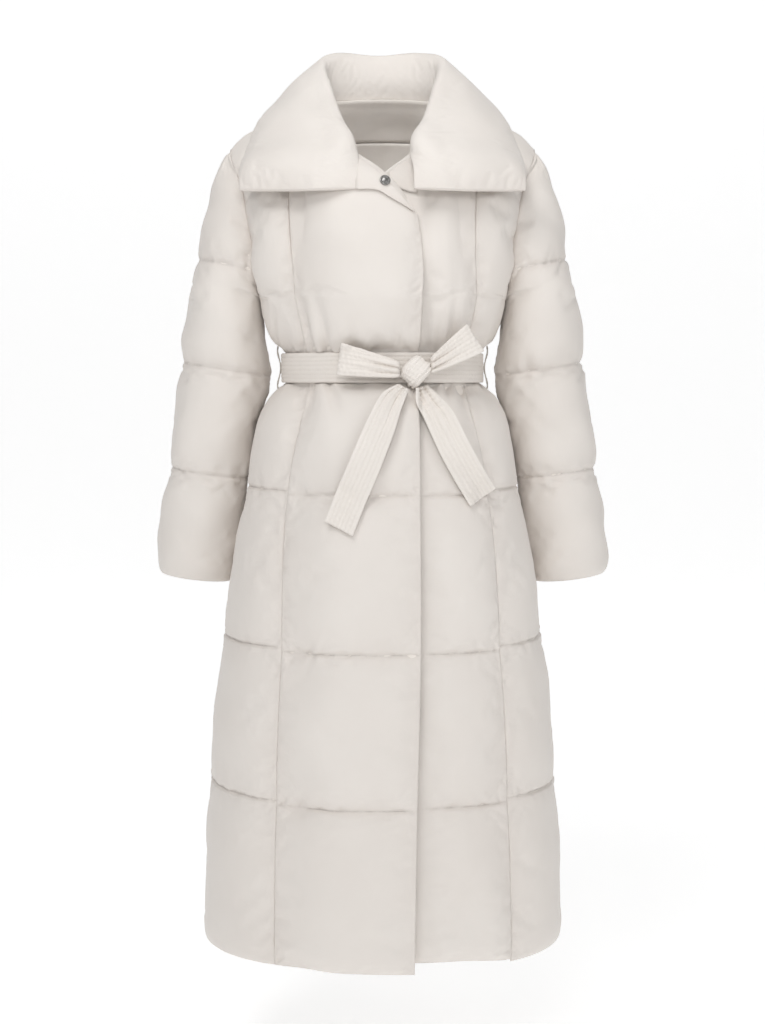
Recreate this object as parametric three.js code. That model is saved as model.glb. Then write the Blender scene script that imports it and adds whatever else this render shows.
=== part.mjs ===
// A long belted puffer coat, filled out as it is worn, with no wearer in it.
// Millimetres, +Z up, the front faces -Y. The origin is between the tops of the shoulders,
// where the coat rests on its wearer. "Right" and "left" are the wearer's: right is at -X.
import * as THREE from 'three';

// ---------------------------------------------------------------- driving dimensions
const BELT_TOP = -329;
const BELT_BOTTOM = -371;
const HEM = -1115;
const QUILT_LINES = [-907, -711, -512];      // the body's horizontal quilting, from the hem up
const ARMPIT = -257;
const SEAM_GAP = 0.3;                        // between two pieces at a seam
const SEAM_HALF_WALL = 1.2;                  // half the cloth's thickness where it is sewn through
const BODY_PUFF = 8;                         // how far the down swells a body panel past its seams
const SLEEVE_PUFF = 6;
const LINING_SHARE = 0.5;                    // the lining swells inwards by this share of the puff
const SEAM_RISE = 0.3;                       // a plain vertical seam still rises by this share
const SIDE_HEM_DIP = 5;                      // the hem hangs lower at the sides
const UNDER_HEM_RISE = 9;                    // and higher at the free corner of the front that lies under
const UNDER_HEM_EVEN = { from: 90, over: 110 };   // towards the side that rise is gone
const LAP_CORNER_DIP = 5;                    // the free corner of the overlapping front hangs lower
const LAP_CORNER = { from: -90, over: 120 };
const HEM_TURNS_WITHIN = 200;                // below the last quilting, where a free corner starts to hang
const LAP_STARTS = 112;                      // the right front rises over the left from here, past the middle
const LAP_RAMP = 56;
const LAP_FADE = 0.85;                       // how much of the rise is gone at the side of the neck
const LAP_FADES_FROM = -125;
const LAP_FADES_OVER = 85;
const LAP_HIDES = 51;                        // the left front is pressed flat up to here
const LAP_LETS_GO = 30;                      // and swells over this distance past it
const PRESSED_PUFF = 0.05;                   // the share of its swelling that is left where it is pressed
const LAPPED_LINING = 0.3;                   // the overlapping front's lining swells by this share
const FREE_EDGE = 1;                         // a hem or free edge is this much thicker each way
const OVER_BELT_REACH = 40;                  // above the belt the front fills out over this height
const ARMHOLE_FLAT_BELOW = 30;               // a side panel is sewn flat from this far below the armpit
const BELT_THICKNESS = 4;
const CLEARANCE = 1.3;                       // between two layers that only lie on each other

// Horizontal sections of the body along its seams. halfWidth is from the middle to the side seam,
// which lies at sideY. front and back are depths from there. lapX is how far a front passes the
// middle, and lap is how far the right front stands out over the left one.
const BODY_SECTIONS = [
  { z: HEM, halfWidth: 241, front: 186, back: 196, sideY: -12, squareness: 2.35, lapX: 40, lap: 12 },
  { z: -907, halfWidth: 231, front: 181, back: 190, sideY: -12, squareness: 2.35, lapX: 43, lap: 12 },
  { z: -711, halfWidth: 212, front: 171, back: 178, sideY: -12, squareness: 2.35, lapX: 47, lap: 12 },
  { z: -512, halfWidth: 180, front: 148, back: 152, sideY: -10, squareness: 2.3, lapX: 46, lap: 12 },
  { z: -430, halfWidth: 166, front: 134, back: 132, sideY: -7, squareness: 2.25, lapX: 45, lap: 12 },
  { z: -392, halfWidth: 150, front: 120, back: 112, sideY: -4, squareness: 2.2, lapX: 44, lap: 10 },
  { z: BELT_BOTTOM, halfWidth: 130, front: 106, back: 94, sideY: -2, squareness: 2.2, lapX: 44, lap: 6 },
  { z: BELT_TOP, halfWidth: 130, front: 105, back: 92, sideY: -1, squareness: 2.2, lapX: 44, lap: 6 },
  { z: -308, halfWidth: 146, front: 116, back: 100, sideY: 1, squareness: 2.2, lapX: 46, lap: 10 },
  { z: -285, halfWidth: 155, front: 123, back: 106, sideY: 3, squareness: 2.25, lapX: 47, lap: 12 },
  { z: ARMPIT, halfWidth: 160, front: 132, back: 112, sideY: 6, squareness: 2.3, lapX: 48, lap: 14 },
];

// The seams that part each front into a centre and a side panel, and the back likewise.
const PRINCESS_SEAMS = [
  { z: HEM, right: 138, left: 166, back: 118 },
  { z: -907, right: 135, left: 160, back: 114 },
  { z: -711, right: 128, left: 150, back: 108 },
  { z: -512, right: 121, left: 135, back: 98 },
  { z: BELT_BOTTOM, right: 94, left: 106, back: 80 },
  { z: BELT_TOP, right: 98, left: 107, back: 80 },
  { z: ARMPIT, right: 111, left: 120, back: 96 },
];

// The sleeve's cap, a row for each level of the armhole from the shoulder down. The cap's outermost
// point is outerX, outerZ; its section is an ellipse that is open towards the body from openAngle on,
// and edgeZ is the height of the armhole's seam there.
const SLEEVE_CAP = [
  { edgeZ: -58, outerX: 206, outerZ: -56, halfWidth: 112, halfDepth: 30, centreY: 8, openAngle: 10 },
  { edgeZ: -77, outerX: 211, outerZ: -76, halfWidth: 100, halfDepth: 38, centreY: 8, openAngle: 27 },
  { edgeZ: -107, outerX: 218, outerZ: -101, halfWidth: 79, halfDepth: 47, centreY: 8, openAngle: 52 },
  { edgeZ: -148, outerX: 229, outerZ: -138, halfWidth: 58.5, halfDepth: 55, centreY: 8, openAngle: 82 },
  { edgeZ: -188, outerX: 238, outerZ: -175, halfWidth: 55.5, halfDepth: 60, centreY: 8, openAngle: 102 },
  { edgeZ: -221, outerX: 246, outerZ: -205, halfWidth: 51, halfDepth: 60, centreY: 8, openAngle: 118 },
  { edgeZ: -244, outerX: 250, outerZ: -229, halfWidth: 46.5, halfDepth: 59, centreY: 8, openAngle: 146 },
  { edgeZ: ARMPIT, outerX: 253, outerZ: -243, halfWidth: 45, halfDepth: 59, centreY: 9, openAngle: 180 },
];
const SLEEVE_SECTIONS = [
  { outerZ: -243, outerX: 253, innerX: 163, drop: 14, halfDepth: 59, centreY: 9 },
  { outerZ: -290, outerX: 260, innerX: 161, drop: 16, halfDepth: 59, centreY: 14 },
  { outerZ: -343, outerX: 270, innerX: 155, drop: 17, halfDepth: 59, centreY: 22 },
  { outerZ: -415, outerX: 278, innerX: 175, drop: 15, halfDepth: 56, centreY: 28 },
  { outerZ: -486, outerX: 289, innerX: 187, drop: 14, halfDepth: 54, centreY: 33 },
  { outerZ: -555, outerX: 299, innerX: 200, drop: 13, halfDepth: 51, centreY: 37 },
  { outerZ: -632, outerX: 307, innerX: 212, drop: 12, halfDepth: 49, centreY: 40 },
];
const SLEEVE_QUILT_LINES = [-486, -343, -205];   // heights of their outermost points
const UNDERARM_PRESSED_ABOVE = -330;             // the sleeve lies flat against the side above this

const NECK_SIDE = [86, 8, 0];
const SHOULDER_SEAM = [NECK_SIDE, [124, 9, -14], [161, 9, -29], [184, 9, -39], [206, 8, -57]];
const SHOULDER_SPLIT = 0.3;                      // the princess seams reach the shoulder here
const SHOULDER_SLOPE = 0.48;                     // the shoulder's fall for each millimetre outwards
const FRONT_NECKLINE = [
  [-47, -118, -157], [0, -107, -104], [33, -90, -77], [60, -58, -44], [79, -23, -14], NECK_SIDE,
];
const BACK_NECKLINE = [NECK_SIDE, [62, 48, 7], [30, 62, 11], [0, 66, 12]];
const FRONT_PRINCESS_TOP = [[118, -106, -170], [120, -84, -110], [121, -45, -52]];
const BACK_PRINCESS_TOP = [[106, 100, -170], [115, 84, -100], [120, 48, -40]];

// Soft gathers where the belt draws the fronts in: where each lies, its depth and how far it runs.
const GATHERS = [
  { x: -84, depth: 3.5, width: 9, reach: 40 },
  { x: -52, depth: 3, width: 8, reach: 55 },
  { x: 62, depth: 3.5, width: 8, reach: 50 },
  { x: 88, depth: 4, width: 9, reach: 60 },
];

const FABRIC = { colour: 0xe4dfd9, roughness: 0.72, metalness: 0 };
const LINING = { colour: 0xd8d1c8, roughness: 0.6, metalness: 0 };
const THREAD = { colour: 0xb8b0a6, roughness: 0.85, metalness: 0 };
const METAL = { colour: 0x6f7072, roughness: 0.35, metalness: 1 };

// ---------------------------------------------------------------- small tools
const vector = ([x, y, z]) => new THREE.Vector3(x, y, z);
const mix = (a, b, t) => a + (b - a) * t;
const smooth = (t) => {
  const k = THREE.MathUtils.clamp(t, 0, 1);
  return k * k * (3 - 2 * k);
};
const steps = (count) => Array.from({ length: count + 1 }, (_, i) => i / count);

/** Reads a table with named columns at any value of its key column, along smooth curves. */
function tableReader(rows, key) {
  const sorted = [...rows].sort((a, b) => a[key] - b[key]);
  const slope = (i, column) => {
    const before = sorted[Math.max(i - 1, 0)];
    const after = sorted[Math.min(i + 1, sorted.length - 1)];
    return (after[column] - before[column]) / (after[key] - before[key]);
  };
  return (value, column) => {
    let i = sorted.findIndex((row) => row[key] > value) - 1;
    if (i === -2) i = sorted.length - 2;
    i = THREE.MathUtils.clamp(i, 0, sorted.length - 2);
    const span = sorted[i + 1][key] - sorted[i][key];
    const t = THREE.MathUtils.clamp((value - sorted[i][key]) / span, 0, 1);
    const t2 = t * t;
    const t3 = t2 * t;
    return (2 * t3 - 3 * t2 + 1) * sorted[i][column] + (t3 - 2 * t2 + t) * span * slope(i, column)
      + (3 * t2 - 2 * t3) * sorted[i + 1][column] + (t3 - t2) * span * slope(i + 1, column);
  };
}

const body = tableReader(BODY_SECTIONS, 'z');
const princess = tableReader(PRINCESS_SEAMS, 'z');
const sleeve = tableReader(SLEEVE_SECTIONS, 'outerZ');
const curveThrough = (points) => new THREE.CatmullRomCurve3(points.map(vector), false, 'centripetal');

/** How full the down stands between two quilting lines: 0 on a line, 1 well away from both. */
const pillow = (t) => Math.pow(1 - Math.pow(Math.abs(2 * THREE.MathUtils.clamp(t, 0, 1) - 1), 3), 0.6);

/**
 * A wall of cloth. grid holds rows of { p, n, out, back }: a point, the way out from it, and how far the
 * wall reaches each way. Every row has as many points, and the wall closes round all four edges.
 */
function clothWall(grid) {
  const rows = grid.length;
  const columns = grid[0].length;
  const positions = [];
  for (const reach of ['out', 'back']) {
    const sign = reach === 'out' ? 1 : -1;
    for (const row of grid) {
      for (const cell of row) positions.push(...cell.p.clone().addScaledVector(cell.n, sign * cell[reach]));
    }
  }
  const outer = (i, j) => i * columns + j;
  const inner = (i, j) => rows * columns + i * columns + j;
  const index = [];
  const quad = (a, b, c, d) => index.push(a, b, c, a, c, d);
  for (let i = 0; i < rows - 1; i++) {
    for (let j = 0; j < columns - 1; j++) {
      quad(outer(i, j), outer(i, j + 1), outer(i + 1, j + 1), outer(i + 1, j));
      quad(inner(i, j), inner(i + 1, j), inner(i + 1, j + 1), inner(i, j + 1));
    }
    quad(outer(i, 0), outer(i + 1, 0), inner(i + 1, 0), inner(i, 0));
    const last = columns - 1;
    quad(outer(i, last), inner(i, last), inner(i + 1, last), outer(i + 1, last));
  }
  const top = rows - 1;
  for (let j = 0; j < columns - 1; j++) {
    quad(outer(0, j), inner(0, j), inner(0, j + 1), outer(0, j + 1));
    quad(outer(top, j), outer(top, j + 1), inner(top, j + 1), inner(top, j));
  }
  const geometry = new THREE.BufferGeometry();
  geometry.setAttribute('position', new THREE.Float32BufferAttribute(positions, 3));
  geometry.setIndex(index);
  if (signedVolume(positions, index) < 0) {
    for (let k = 0; k < index.length; k += 3) [index[k], index[k + 1]] = [index[k + 1], index[k]];
    geometry.setIndex(index);
  }
  return geometry;
}

function signedVolume(positions, index) {
  const corner = (k) => new THREE.Vector3().fromArray(positions, index[k] * 3);
  let volume = 0;
  for (let k = 0; k < index.length; k += 3) volume += corner(k).dot(corner(k + 1).cross(corner(k + 2)));
  return volume;
}

/** The way out at each point of a grid of points, from its neighbours. */
function gridNormals(points) {
  const at = (i, j) => points[THREE.MathUtils.clamp(i, 0, points.length - 1)][
    THREE.MathUtils.clamp(j, 0, points[0].length - 1)];
  return points.map((row, i) => row.map((_, j) => {
    const along = at(i, j + 1).clone().sub(at(i, j - 1));
    const up = at(i + 1, j).clone().sub(at(i - 1, j));
    return along.cross(up).normalize();
  }));
}

/** Pulls the first and last columns and rows of a grid in by gap, so that a seam stays open by twice that. */
function trimmed(grid, gap, edges) {
  const pull = (cell, towards, pulled = gap) => {
    const way = towards.p.clone().sub(cell.p);
    const far = way.length();
    return far > pulled ? { ...cell, p: cell.p.clone().addScaledVector(way, pulled / far) } : cell;
  };
  const rows = grid.map((row) => [...row]);
  const last = rows[0].length - 1;
  const top = rows.length - 1;
  grid.forEach((row, i) => {
    if (edges.first) rows[i][0] = pull(row[0], row[1]);
    if (edges.last) rows[i][last] = pull(row[last], row[last - 1]);
  });
  const topGap = edges.topGap ?? gap;
  if (edges.top) rows[top] = rows[top].map((cell, j) => pull(cell, rows[top - 1][j], topGap));
  return rows;
}

// ---------------------------------------------------------------- the body's form
/** A point of the body's section at height z. turn is 0 at the middle of the front or back, 1 at the side. */
function sectionPoint(z, turn, facing) {
  const angle = (turn * Math.PI) / 2;
  const power = 2 / body(z, 'squareness');
  const depth = facing === 'front' ? -body(z, 'front') : body(z, 'back');
  const x = Math.sign(angle) * body(z, 'halfWidth') * Math.pow(Math.abs(Math.sin(angle)), power);
  const y = body(z, 'sideY') + depth * Math.pow(Math.max(Math.cos(angle), 0), power);
  const nearHem = smooth((QUILT_LINES[0] - z) / (QUILT_LINES[0] - HEM));
  return new THREE.Vector3(x, y, z - SIDE_HEM_DIP * nearHem * Math.sin(angle) ** 2);
}

/** The turn at which the section reaches x. */
const turnAt = (z, x) => (2 / Math.PI) * Math.sign(x)
  * Math.asin(Math.min(1, Math.pow(Math.abs(x) / body(z, 'halfWidth'), body(z, 'squareness') / 2)));

/** The point of the sleeve's cap on one row, by the angle from its outermost point, front negative. */
function capPoint(row, angle) {
  const open = THREE.MathUtils.degToRad(row.openAngle);
  const inwards = 1 - Math.cos(angle);
  return new THREE.Vector3(
    row.outerX - row.halfWidth * inwards,
    row.centreY + row.halfDepth * Math.sin(angle),
    row.outerZ - (row.outerZ - row.edgeZ) * (inwards / (1 - Math.cos(open))),
  );
}
const armholePoint = (row, facing) => capPoint(
  row, THREE.MathUtils.degToRad(row.openAngle) * (facing === 'front' ? -1 : 1));

const LEVELS_ABOVE_ARMPIT = [...SLEEVE_CAP].reverse().slice(1);
const SHOULDER_LEVEL = LEVELS_ABOVE_ARMPIT.length;      // the armhole's rows, then the shoulder seam
const shoulderSeam = curveThrough(SHOULDER_SEAM);

/** A surface between four curves that share their corners, sampled at the given shares. */
function patch(bottom, top, first, last, across, up) {
  const corner = { a: bottom(0), b: bottom(1), c: top(0), d: top(1) };
  return up.map((v, i) => across.map((u) => {
    const point = bottom(u).multiplyScalar(1 - v).addScaledVector(top(u), v);
    point.addScaledVector(first(v, i), 1 - u).addScaledVector(last(v, i), u);
    return point.addScaledVector(corner.a, -(1 - u) * (1 - v)).addScaledVector(corner.b, -u * (1 - v))
      .addScaledVector(corner.c, -(1 - u) * v).addScaledVector(corner.d, -u * v);
  }));
}

const FRONT_CENTRE_COLUMNS = 7;
const SIDE_COLUMNS = 4;
const BACK_CENTRE_COLUMNS = 8;

// Every body panel is sampled at the same heights below the armpit and the same shares above it.
const CELL_SHARES = [0, 0.14, 0.5, 0.86];
const INSIDE_BACK_FROM = -318;                // the lining shows inside the back from this height up
const ABOVE_BELT = [INSIDE_BACK_FROM, -300, -280];
const cellBounds = [HEM, ...QUILT_LINES, BELT_BOTTOM];
const cellRows = (bounds) => bounds.slice(0, -1).flatMap(
  (low, k) => CELL_SHARES.map((share) => mix(low, bounds[k + 1], share)));
const HEIGHTS = [...cellRows(cellBounds), BELT_BOTTOM, BELT_TOP, ...ABOVE_BELT, ARMPIT];
const shoulderTipZ = SHOULDER_SEAM.at(-1)[2];
const YOKE_SHARES = LEVELS_ABOVE_ARMPIT.map((row) => (row.edgeZ - ARMPIT) / (shoulderTipZ - ARMPIT)).concat(1);

/** How full a row of the body is, from the cell of quilting that it lies in. */
function rowFullness(z) {
  for (let k = 0; k < cellBounds.length - 1; k++) {
    if (z < cellBounds[k + 1]) return pillow((z - cellBounds[k]) / (cellBounds[k + 1] - cellBounds[k]));
  }
  return z <= BELT_TOP ? 0 : smooth((z - BELT_TOP) / OVER_BELT_REACH);
}

/** The valley line of each panel's rows: points for the shares across, below and above the armpit. */
function panelPoints(spec) {
  const lower = HEIGHTS.map((z) => spec.across.map((u) => {
    const [from, to] = spec.turns(z);
    return sectionPoint(z, mix(from, to, u), spec.facing);
  }));
  const bottom = (u) => {
    const [from, to] = spec.turns(ARMPIT);
    return sectionPoint(ARMPIT, mix(from, to, u), spec.facing);
  };
  const upper = patch(bottom, spec.top, spec.first, spec.last, spec.across, YOKE_SHARES);
  return [...lower, ...upper];
}

const curveFrom = (start, middle, end) => {
  const curve = new THREE.CatmullRomCurve3([start, ...middle.map(vector), end], false, 'centripetal');
  return (v) => curve.getPoint(v);
};

/** The specs of a half's front and back panels, with x positive towards that half's side. */
function halfSpecs(which) {
  const seamTop = shoulderSeam.getPoint(SHOULDER_SPLIT);
  const frontSeam = (z) => turnAt(z, princess(z, which));
  const backSeam = (z) => turnAt(z, princess(z, 'back'));
  const frontFoot = sectionPoint(ARMPIT, frontSeam(ARMPIT), 'front');
  const backFoot = sectionPoint(ARMPIT, backSeam(ARMPIT), 'back');
  const frontPrincess = curveFrom(frontFoot, FRONT_PRINCESS_TOP, seamTop);
  const backPrincess = curveFrom(backFoot, BACK_PRINCESS_TOP, seamTop);
  const lapTurn = (z) => turnAt(z, -body(z, 'lapX'));
  const lapEdge = curveFrom(sectionPoint(ARMPIT, lapTurn(ARMPIT), 'front'), [], vector(FRONT_NECKLINE[0]));
  const neckline = curveThrough(FRONT_NECKLINE);
  const neckShare = 1 - 1 / FRONT_CENTRE_COLUMNS;
  const neckAndShoulder = (u) => (u <= neckShare
    ? neckline.getPointAt(u / neckShare)
    : shoulderSeam.getPoint((SHOULDER_SPLIT * (u - neckShare)) / (1 - neckShare)));
  const outerShoulder = (u) => shoulderSeam.getPoint(mix(SHOULDER_SPLIT, 1, u));
  const armhole = (facing) => (v, i) => (i < SHOULDER_LEVEL
    ? armholePoint(LEVELS_ABOVE_ARMPIT[i], facing) : shoulderSeam.getPoint(1));
  return {
    frontCentre: {
      facing: 'front', across: steps(FRONT_CENTRE_COLUMNS), turns: (z) => [lapTurn(z), frontSeam(z)],
      top: neckAndShoulder, first: lapEdge, last: frontPrincess,
    },
    frontSide: {
      facing: 'front', across: steps(SIDE_COLUMNS), turns: (z) => [frontSeam(z), 1],
      top: outerShoulder, first: frontPrincess, last: armhole('front'),
    },
    backSide: {
      facing: 'back', across: steps(SIDE_COLUMNS), turns: (z) => [backSeam(z), 1],
      top: outerShoulder, first: backPrincess, last: armhole('back'),
    },
    backPrincess,
  };
}

/** The middle of the back, from seam to seam, with x positive on one side and negative on the other. */
function backCentreSpec(half) {
  const seam = (z) => turnAt(z, princess(z, 'back'));
  const neck = curveThrough(
    [...BACK_NECKLINE, ...[...BACK_NECKLINE].reverse().slice(1).map(([x, y, z]) => [-x, y, z])]);
  const mirrored = (p) => new THREE.Vector3(-p.x, p.y, p.z);
  const shoulderShare = 1 / BACK_CENTRE_COLUMNS;
  const top = (u) => {
    if (u > 1 - shoulderShare) return mirrored(top(1 - u));
    if (u < shoulderShare) return shoulderSeam.getPoint(SHOULDER_SPLIT * (1 - u / shoulderShare));
    return neck.getPointAt((u - shoulderShare) / (1 - 2 * shoulderShare));
  };
  return {
    facing: 'back', across: steps(BACK_CENTRE_COLUMNS), turns: (z) => [seam(z), -seam(z)],
    top, first: half.backPrincess, last: (v) => mirrored(half.backPrincess(v)),
  };
}

const mirrorX = (rows) => rows.map((row) => row.map((p) => new THREE.Vector3(-p.x, p.y, p.z)));
const facingOut = (normals, points, middleY) => normals.map((row, i) => row.map((n, j) => {
  const outwards = new THREE.Vector3(points[i][j].x, points[i][j].y - middleY, 0);
  return n.dot(outwards) < 0 ? n.negate() : n;
}));

/** Builds every body panel's grid at once, so that two panels share their points and normals at a seam. */
function bodyPanels() {
  const halves = { right: halfSpecs('right'), left: halfSpecs('left') };
  const raw = {};
  for (const which of ['right', 'left']) {
    for (const name of ['frontCentre', 'frontSide', 'backSide']) {
      const points = panelPoints(halves[which][name]);
      raw[`${which}.${name}`] = which === 'right' ? mirrorX(points) : points;
    }
  }
  raw['back.centre'] = panelPoints(backCentreSpec(halves.left));
  const panels = {};
  for (const [name, points] of Object.entries(raw)) {
    panels[name] = { points, normals: facingOut(gridNormals(points), points, 0) };
  }
  const share = (a, columnA, b, columnB, rows) => rows.forEach((i) => {
    const ja = columnA < 0 ? panels[a].normals[i].length - 1 : columnA;
    const jb = columnB < 0 ? panels[b].normals[i].length - 1 : columnB;
    const mean = panels[a].normals[i][ja].clone().add(panels[b].normals[i][jb]).normalize();
    panels[a].normals[i][ja] = mean;
    panels[b].normals[i][jb] = mean;
  });
  const allRows = raw['back.centre'].map((_, i) => i);
  const lowRows = HEIGHTS.map((_, i) => i);
  for (const which of ['right', 'left']) {
    share(`${which}.frontCentre`, -1, `${which}.frontSide`, 0, allRows);
    share(`${which}.frontSide`, -1, `${which}.backSide`, -1, lowRows);
    share(`${which}.backSide`, 0, 'back.centre', which === 'left' ? 0 : -1, allRows);
  }
  for (const { points, normals } of Object.values(panels)) {
    const top = points.length - 1;
    points[top].forEach((p, j) => {
      if (Math.abs(p.x) < NECK_SIDE[0] - 1) return;
      normals[top][j] = new THREE.Vector3(Math.sign(p.x) * SHOULDER_SLOPE, 0, 1).normalize();
    });
  }
  return panels;
}

/** How near a row below the quilting is to the hem, where a free front corner hangs on its own. */
const hemTurn = (z) => smooth((QUILT_LINES[0] - z) / HEM_TURNS_WITHIN);

/** How much of the swelling a front has left at x, by how it laps with the other one. */
const pressedShare = (x) => mix(PRESSED_PUFF, 1, smooth((x - LAP_HIDES) / LAP_LETS_GO));
const liningShare = (x, over) => LINING_SHARE
  * (over ? mix(1, LAPPED_LINING, smooth((x + LAP_STARTS) / LAP_RAMP)) : 1);

/** Gives a panel its thickness: the puffs between its seams, the gathers and the overlap. */
function padded(panel, { over = false, under = false, sideways = false } = {}) {
  const last = panel.points[0].length - 1;
  const top = panel.points.length - 1;
  const topRowShares = [1, 0.7, 0.4];         // the rows just below the shoulder and neck swell less
  return panel.points.map((row, i) => row.map((p, j) => {
    const z = i < HEIGHTS.length ? HEIGHTS[i] : ARMPIT;
    const nearTop = i === top ? 0 : topRowShares[Math.max(0, i - top + 3)];
    const nearArm = sideways && z > ARMPIT - ARMHOLE_FLAT_BELOW && j === last ? 0 : SEAM_RISE;
    const puff = BODY_PUFF * rowFullness(z) * nearTop * mix(nearArm, 1, pillow(j / last));
    const n = panel.normals[i][j];
    const point = p.clone().addScaledVector(n, -gatherDepth(p));
    if (over) {
      point.addScaledVector(n, lapRise(z, p));
      point.z -= LAP_CORNER_DIP * hemTurn(z) * smooth((p.x - LAP_CORNER.from) / LAP_CORNER.over);
    }
    if (under) {
      point.z += UNDER_HEM_RISE * hemTurn(z) * (1 - smooth((p.x - UNDER_HEM_EVEN.from) / UNDER_HEM_EVEN.over));
    }
    const pressed = under ? pressedShare(p.x) : 1;
    const lining = i >= top - 1 ? 0 : liningShare(p.x, over);
    const freeEdge = i === 0 || (j === 0 && (over || under)) ? FREE_EDGE : 0;
    return {
      p: point, n,
      out: SEAM_HALF_WALL + puff * pressed + freeEdge,
      back: SEAM_HALF_WALL + puff * lining + freeEdge,
    };
  }));
}

/** How far the right front stands out over the left one: fully at its edge, and less up at the neck. */
const lapRise = (z, p) => body(z, 'lap') * smooth((p.x + LAP_STARTS) / LAP_RAMP)
  * (1 - LAP_FADE * smooth((p.z - LAP_FADES_FROM) / LAP_FADES_OVER));

const GATHER_STARTS = 8;                      // a gather reaches its depth this far from the belt

/** How deep the belt's gathers press the fronts in at a point. */
function gatherDepth(p) {
  if (p.y > 0) return 0;
  const away = Math.max(0, p.z - BELT_TOP, BELT_BOTTOM - p.z);
  if (away === 0) return 0;
  return GATHERS.reduce((sum, g) => sum + g.depth * Math.exp(-(((p.x - g.x) / g.width) ** 2))
    * Math.exp(-away / g.reach) * smooth(away / GATHER_STARTS), 0);
}

// ---------------------------------------------------------------- sleeves
const SLEEVE_COLUMNS = 10;
const SLEEVE_ROWS_UNDER_ARM = [-326, -290];
const UNDERARM_COLUMNS = 3;                   // the sleeve fills out over this many columns from its seam
const UNDERARM_PUFF = 0.5;                    // the share of its puff along the seam further down
const CUFF_TURN = 1.2;                        // the turned-in cloth at the cuff, each way

/** One sleeve's rows from the cuff up, each from the underarm seam round the front to the back. */
function sleevePoints() {
  const shares = steps(SLEEVE_COLUMNS);
  const bounds = [SLEEVE_SECTIONS.at(-1).outerZ, ...SLEEVE_QUILT_LINES.slice(0, 2)];
  const heights = [...cellRows(bounds), bounds.at(-1), ...SLEEVE_ROWS_UNDER_ARM];
  const rings = heights.map((z) => {
    const halfWidth = (sleeve(z, 'outerX') - sleeve(z, 'innerX')) / 2;
    return {
      points: shares.map((share) => {
        const angle = mix(-Math.PI, Math.PI, share);
        const inwards = 1 - Math.cos(angle);
        return new THREE.Vector3(
          sleeve(z, 'outerX') - halfWidth * inwards,
          sleeve(z, 'centreY') + sleeve(z, 'halfDepth') * Math.sin(angle),
          z - (sleeve(z, 'drop') * inwards) / 2,
        );
      }),
      outerZ: z,
    };
  });
  const cap = [...SLEEVE_CAP].reverse().map((row) => ({
    points: shares.map((share) => capPoint(row, THREE.MathUtils.degToRad(row.openAngle) * mix(-1, 1, share))),
    outerZ: row.outerZ,
  }));
  return [...rings, ...cap];
}

/** A sleeve's points with the way out at each, its armhole rows counted from the armpit. */
function sleeveForm() {
  const rows = sleevePoints();
  const points = rows.map((row) => row.points);
  const normals = gridNormals(points);
  const firstCap = rows.length - SLEEVE_CAP.length;
  for (let i = 0; i <= firstCap; i++) {
    const mean = normals[i][0].clone().add(normals[i][SLEEVE_COLUMNS]).normalize();
    normals[i][0] = mean;
    normals[i][SLEEVE_COLUMNS] = mean;
  }
  return { points, normals, heights: rows.map((row) => row.outerZ), firstCap };
}

/** Lets the sleeve and the body share the way out along the armhole, where their walls lie side by side. */
function joinArmhole(form, panels, which) {
  const mirror = which === 'right' ? -1 : 1;
  const flip = (n) => new THREE.Vector3(mirror * n.x, n.y, n.z);
  const shared = { ...form, normals: form.normals.map((row) => [...row]) };
  for (let k = 1; k < SLEEVE_CAP.length; k++) {
    for (const [column, name] of [[0, 'frontSide'], [SLEEVE_COLUMNS, 'backSide']]) {
      const bodyRow = panels[`${which}.${name}`].normals[HEIGHTS.length - 1 + k];
      const sleeveRow = shared.normals[form.firstCap + k];
      const mean = flip(bodyRow[bodyRow.length - 1]).add(sleeveRow[column]).normalize();
      sleeveRow[column] = mean;
      bodyRow[bodyRow.length - 1] = flip(mean);
    }
  }
  return shared;
}

function sleeveGrid({ points, normals, heights, firstCap }) {
  const bounds = [SLEEVE_SECTIONS.at(-1).outerZ, ...SLEEVE_QUILT_LINES, SLEEVE_CAP[0].outerZ];
  const last = points.length - 1;
  return points.map((row, i) => row.map((p, j) => {
    const z = heights[i];
    const k = bounds.findIndex((bound) => bound > z);
    const cell = k < 0 ? bounds.length - 1 : k;
    const full = pillow((z - bounds[cell - 1]) / (bounds[cell] - bounds[cell - 1]));
    const fromSeam = smooth(Math.min(j, SLEEVE_COLUMNS - j) / UNDERARM_COLUMNS);
    const pressed = z > UNDERARM_PRESSED_ABOVE ? fromSeam : mix(UNDERARM_PUFF, 1, fromSeam);
    const puff = i === last ? 0 : SLEEVE_PUFF * full * pressed;
    const flat = SEAM_HALF_WALL + (i === 0 ? CUFF_TURN : 0);
    return { p, n: normals[i][j], out: flat + puff, back: flat + puff * LINING_SHARE };
  }));
}

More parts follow.
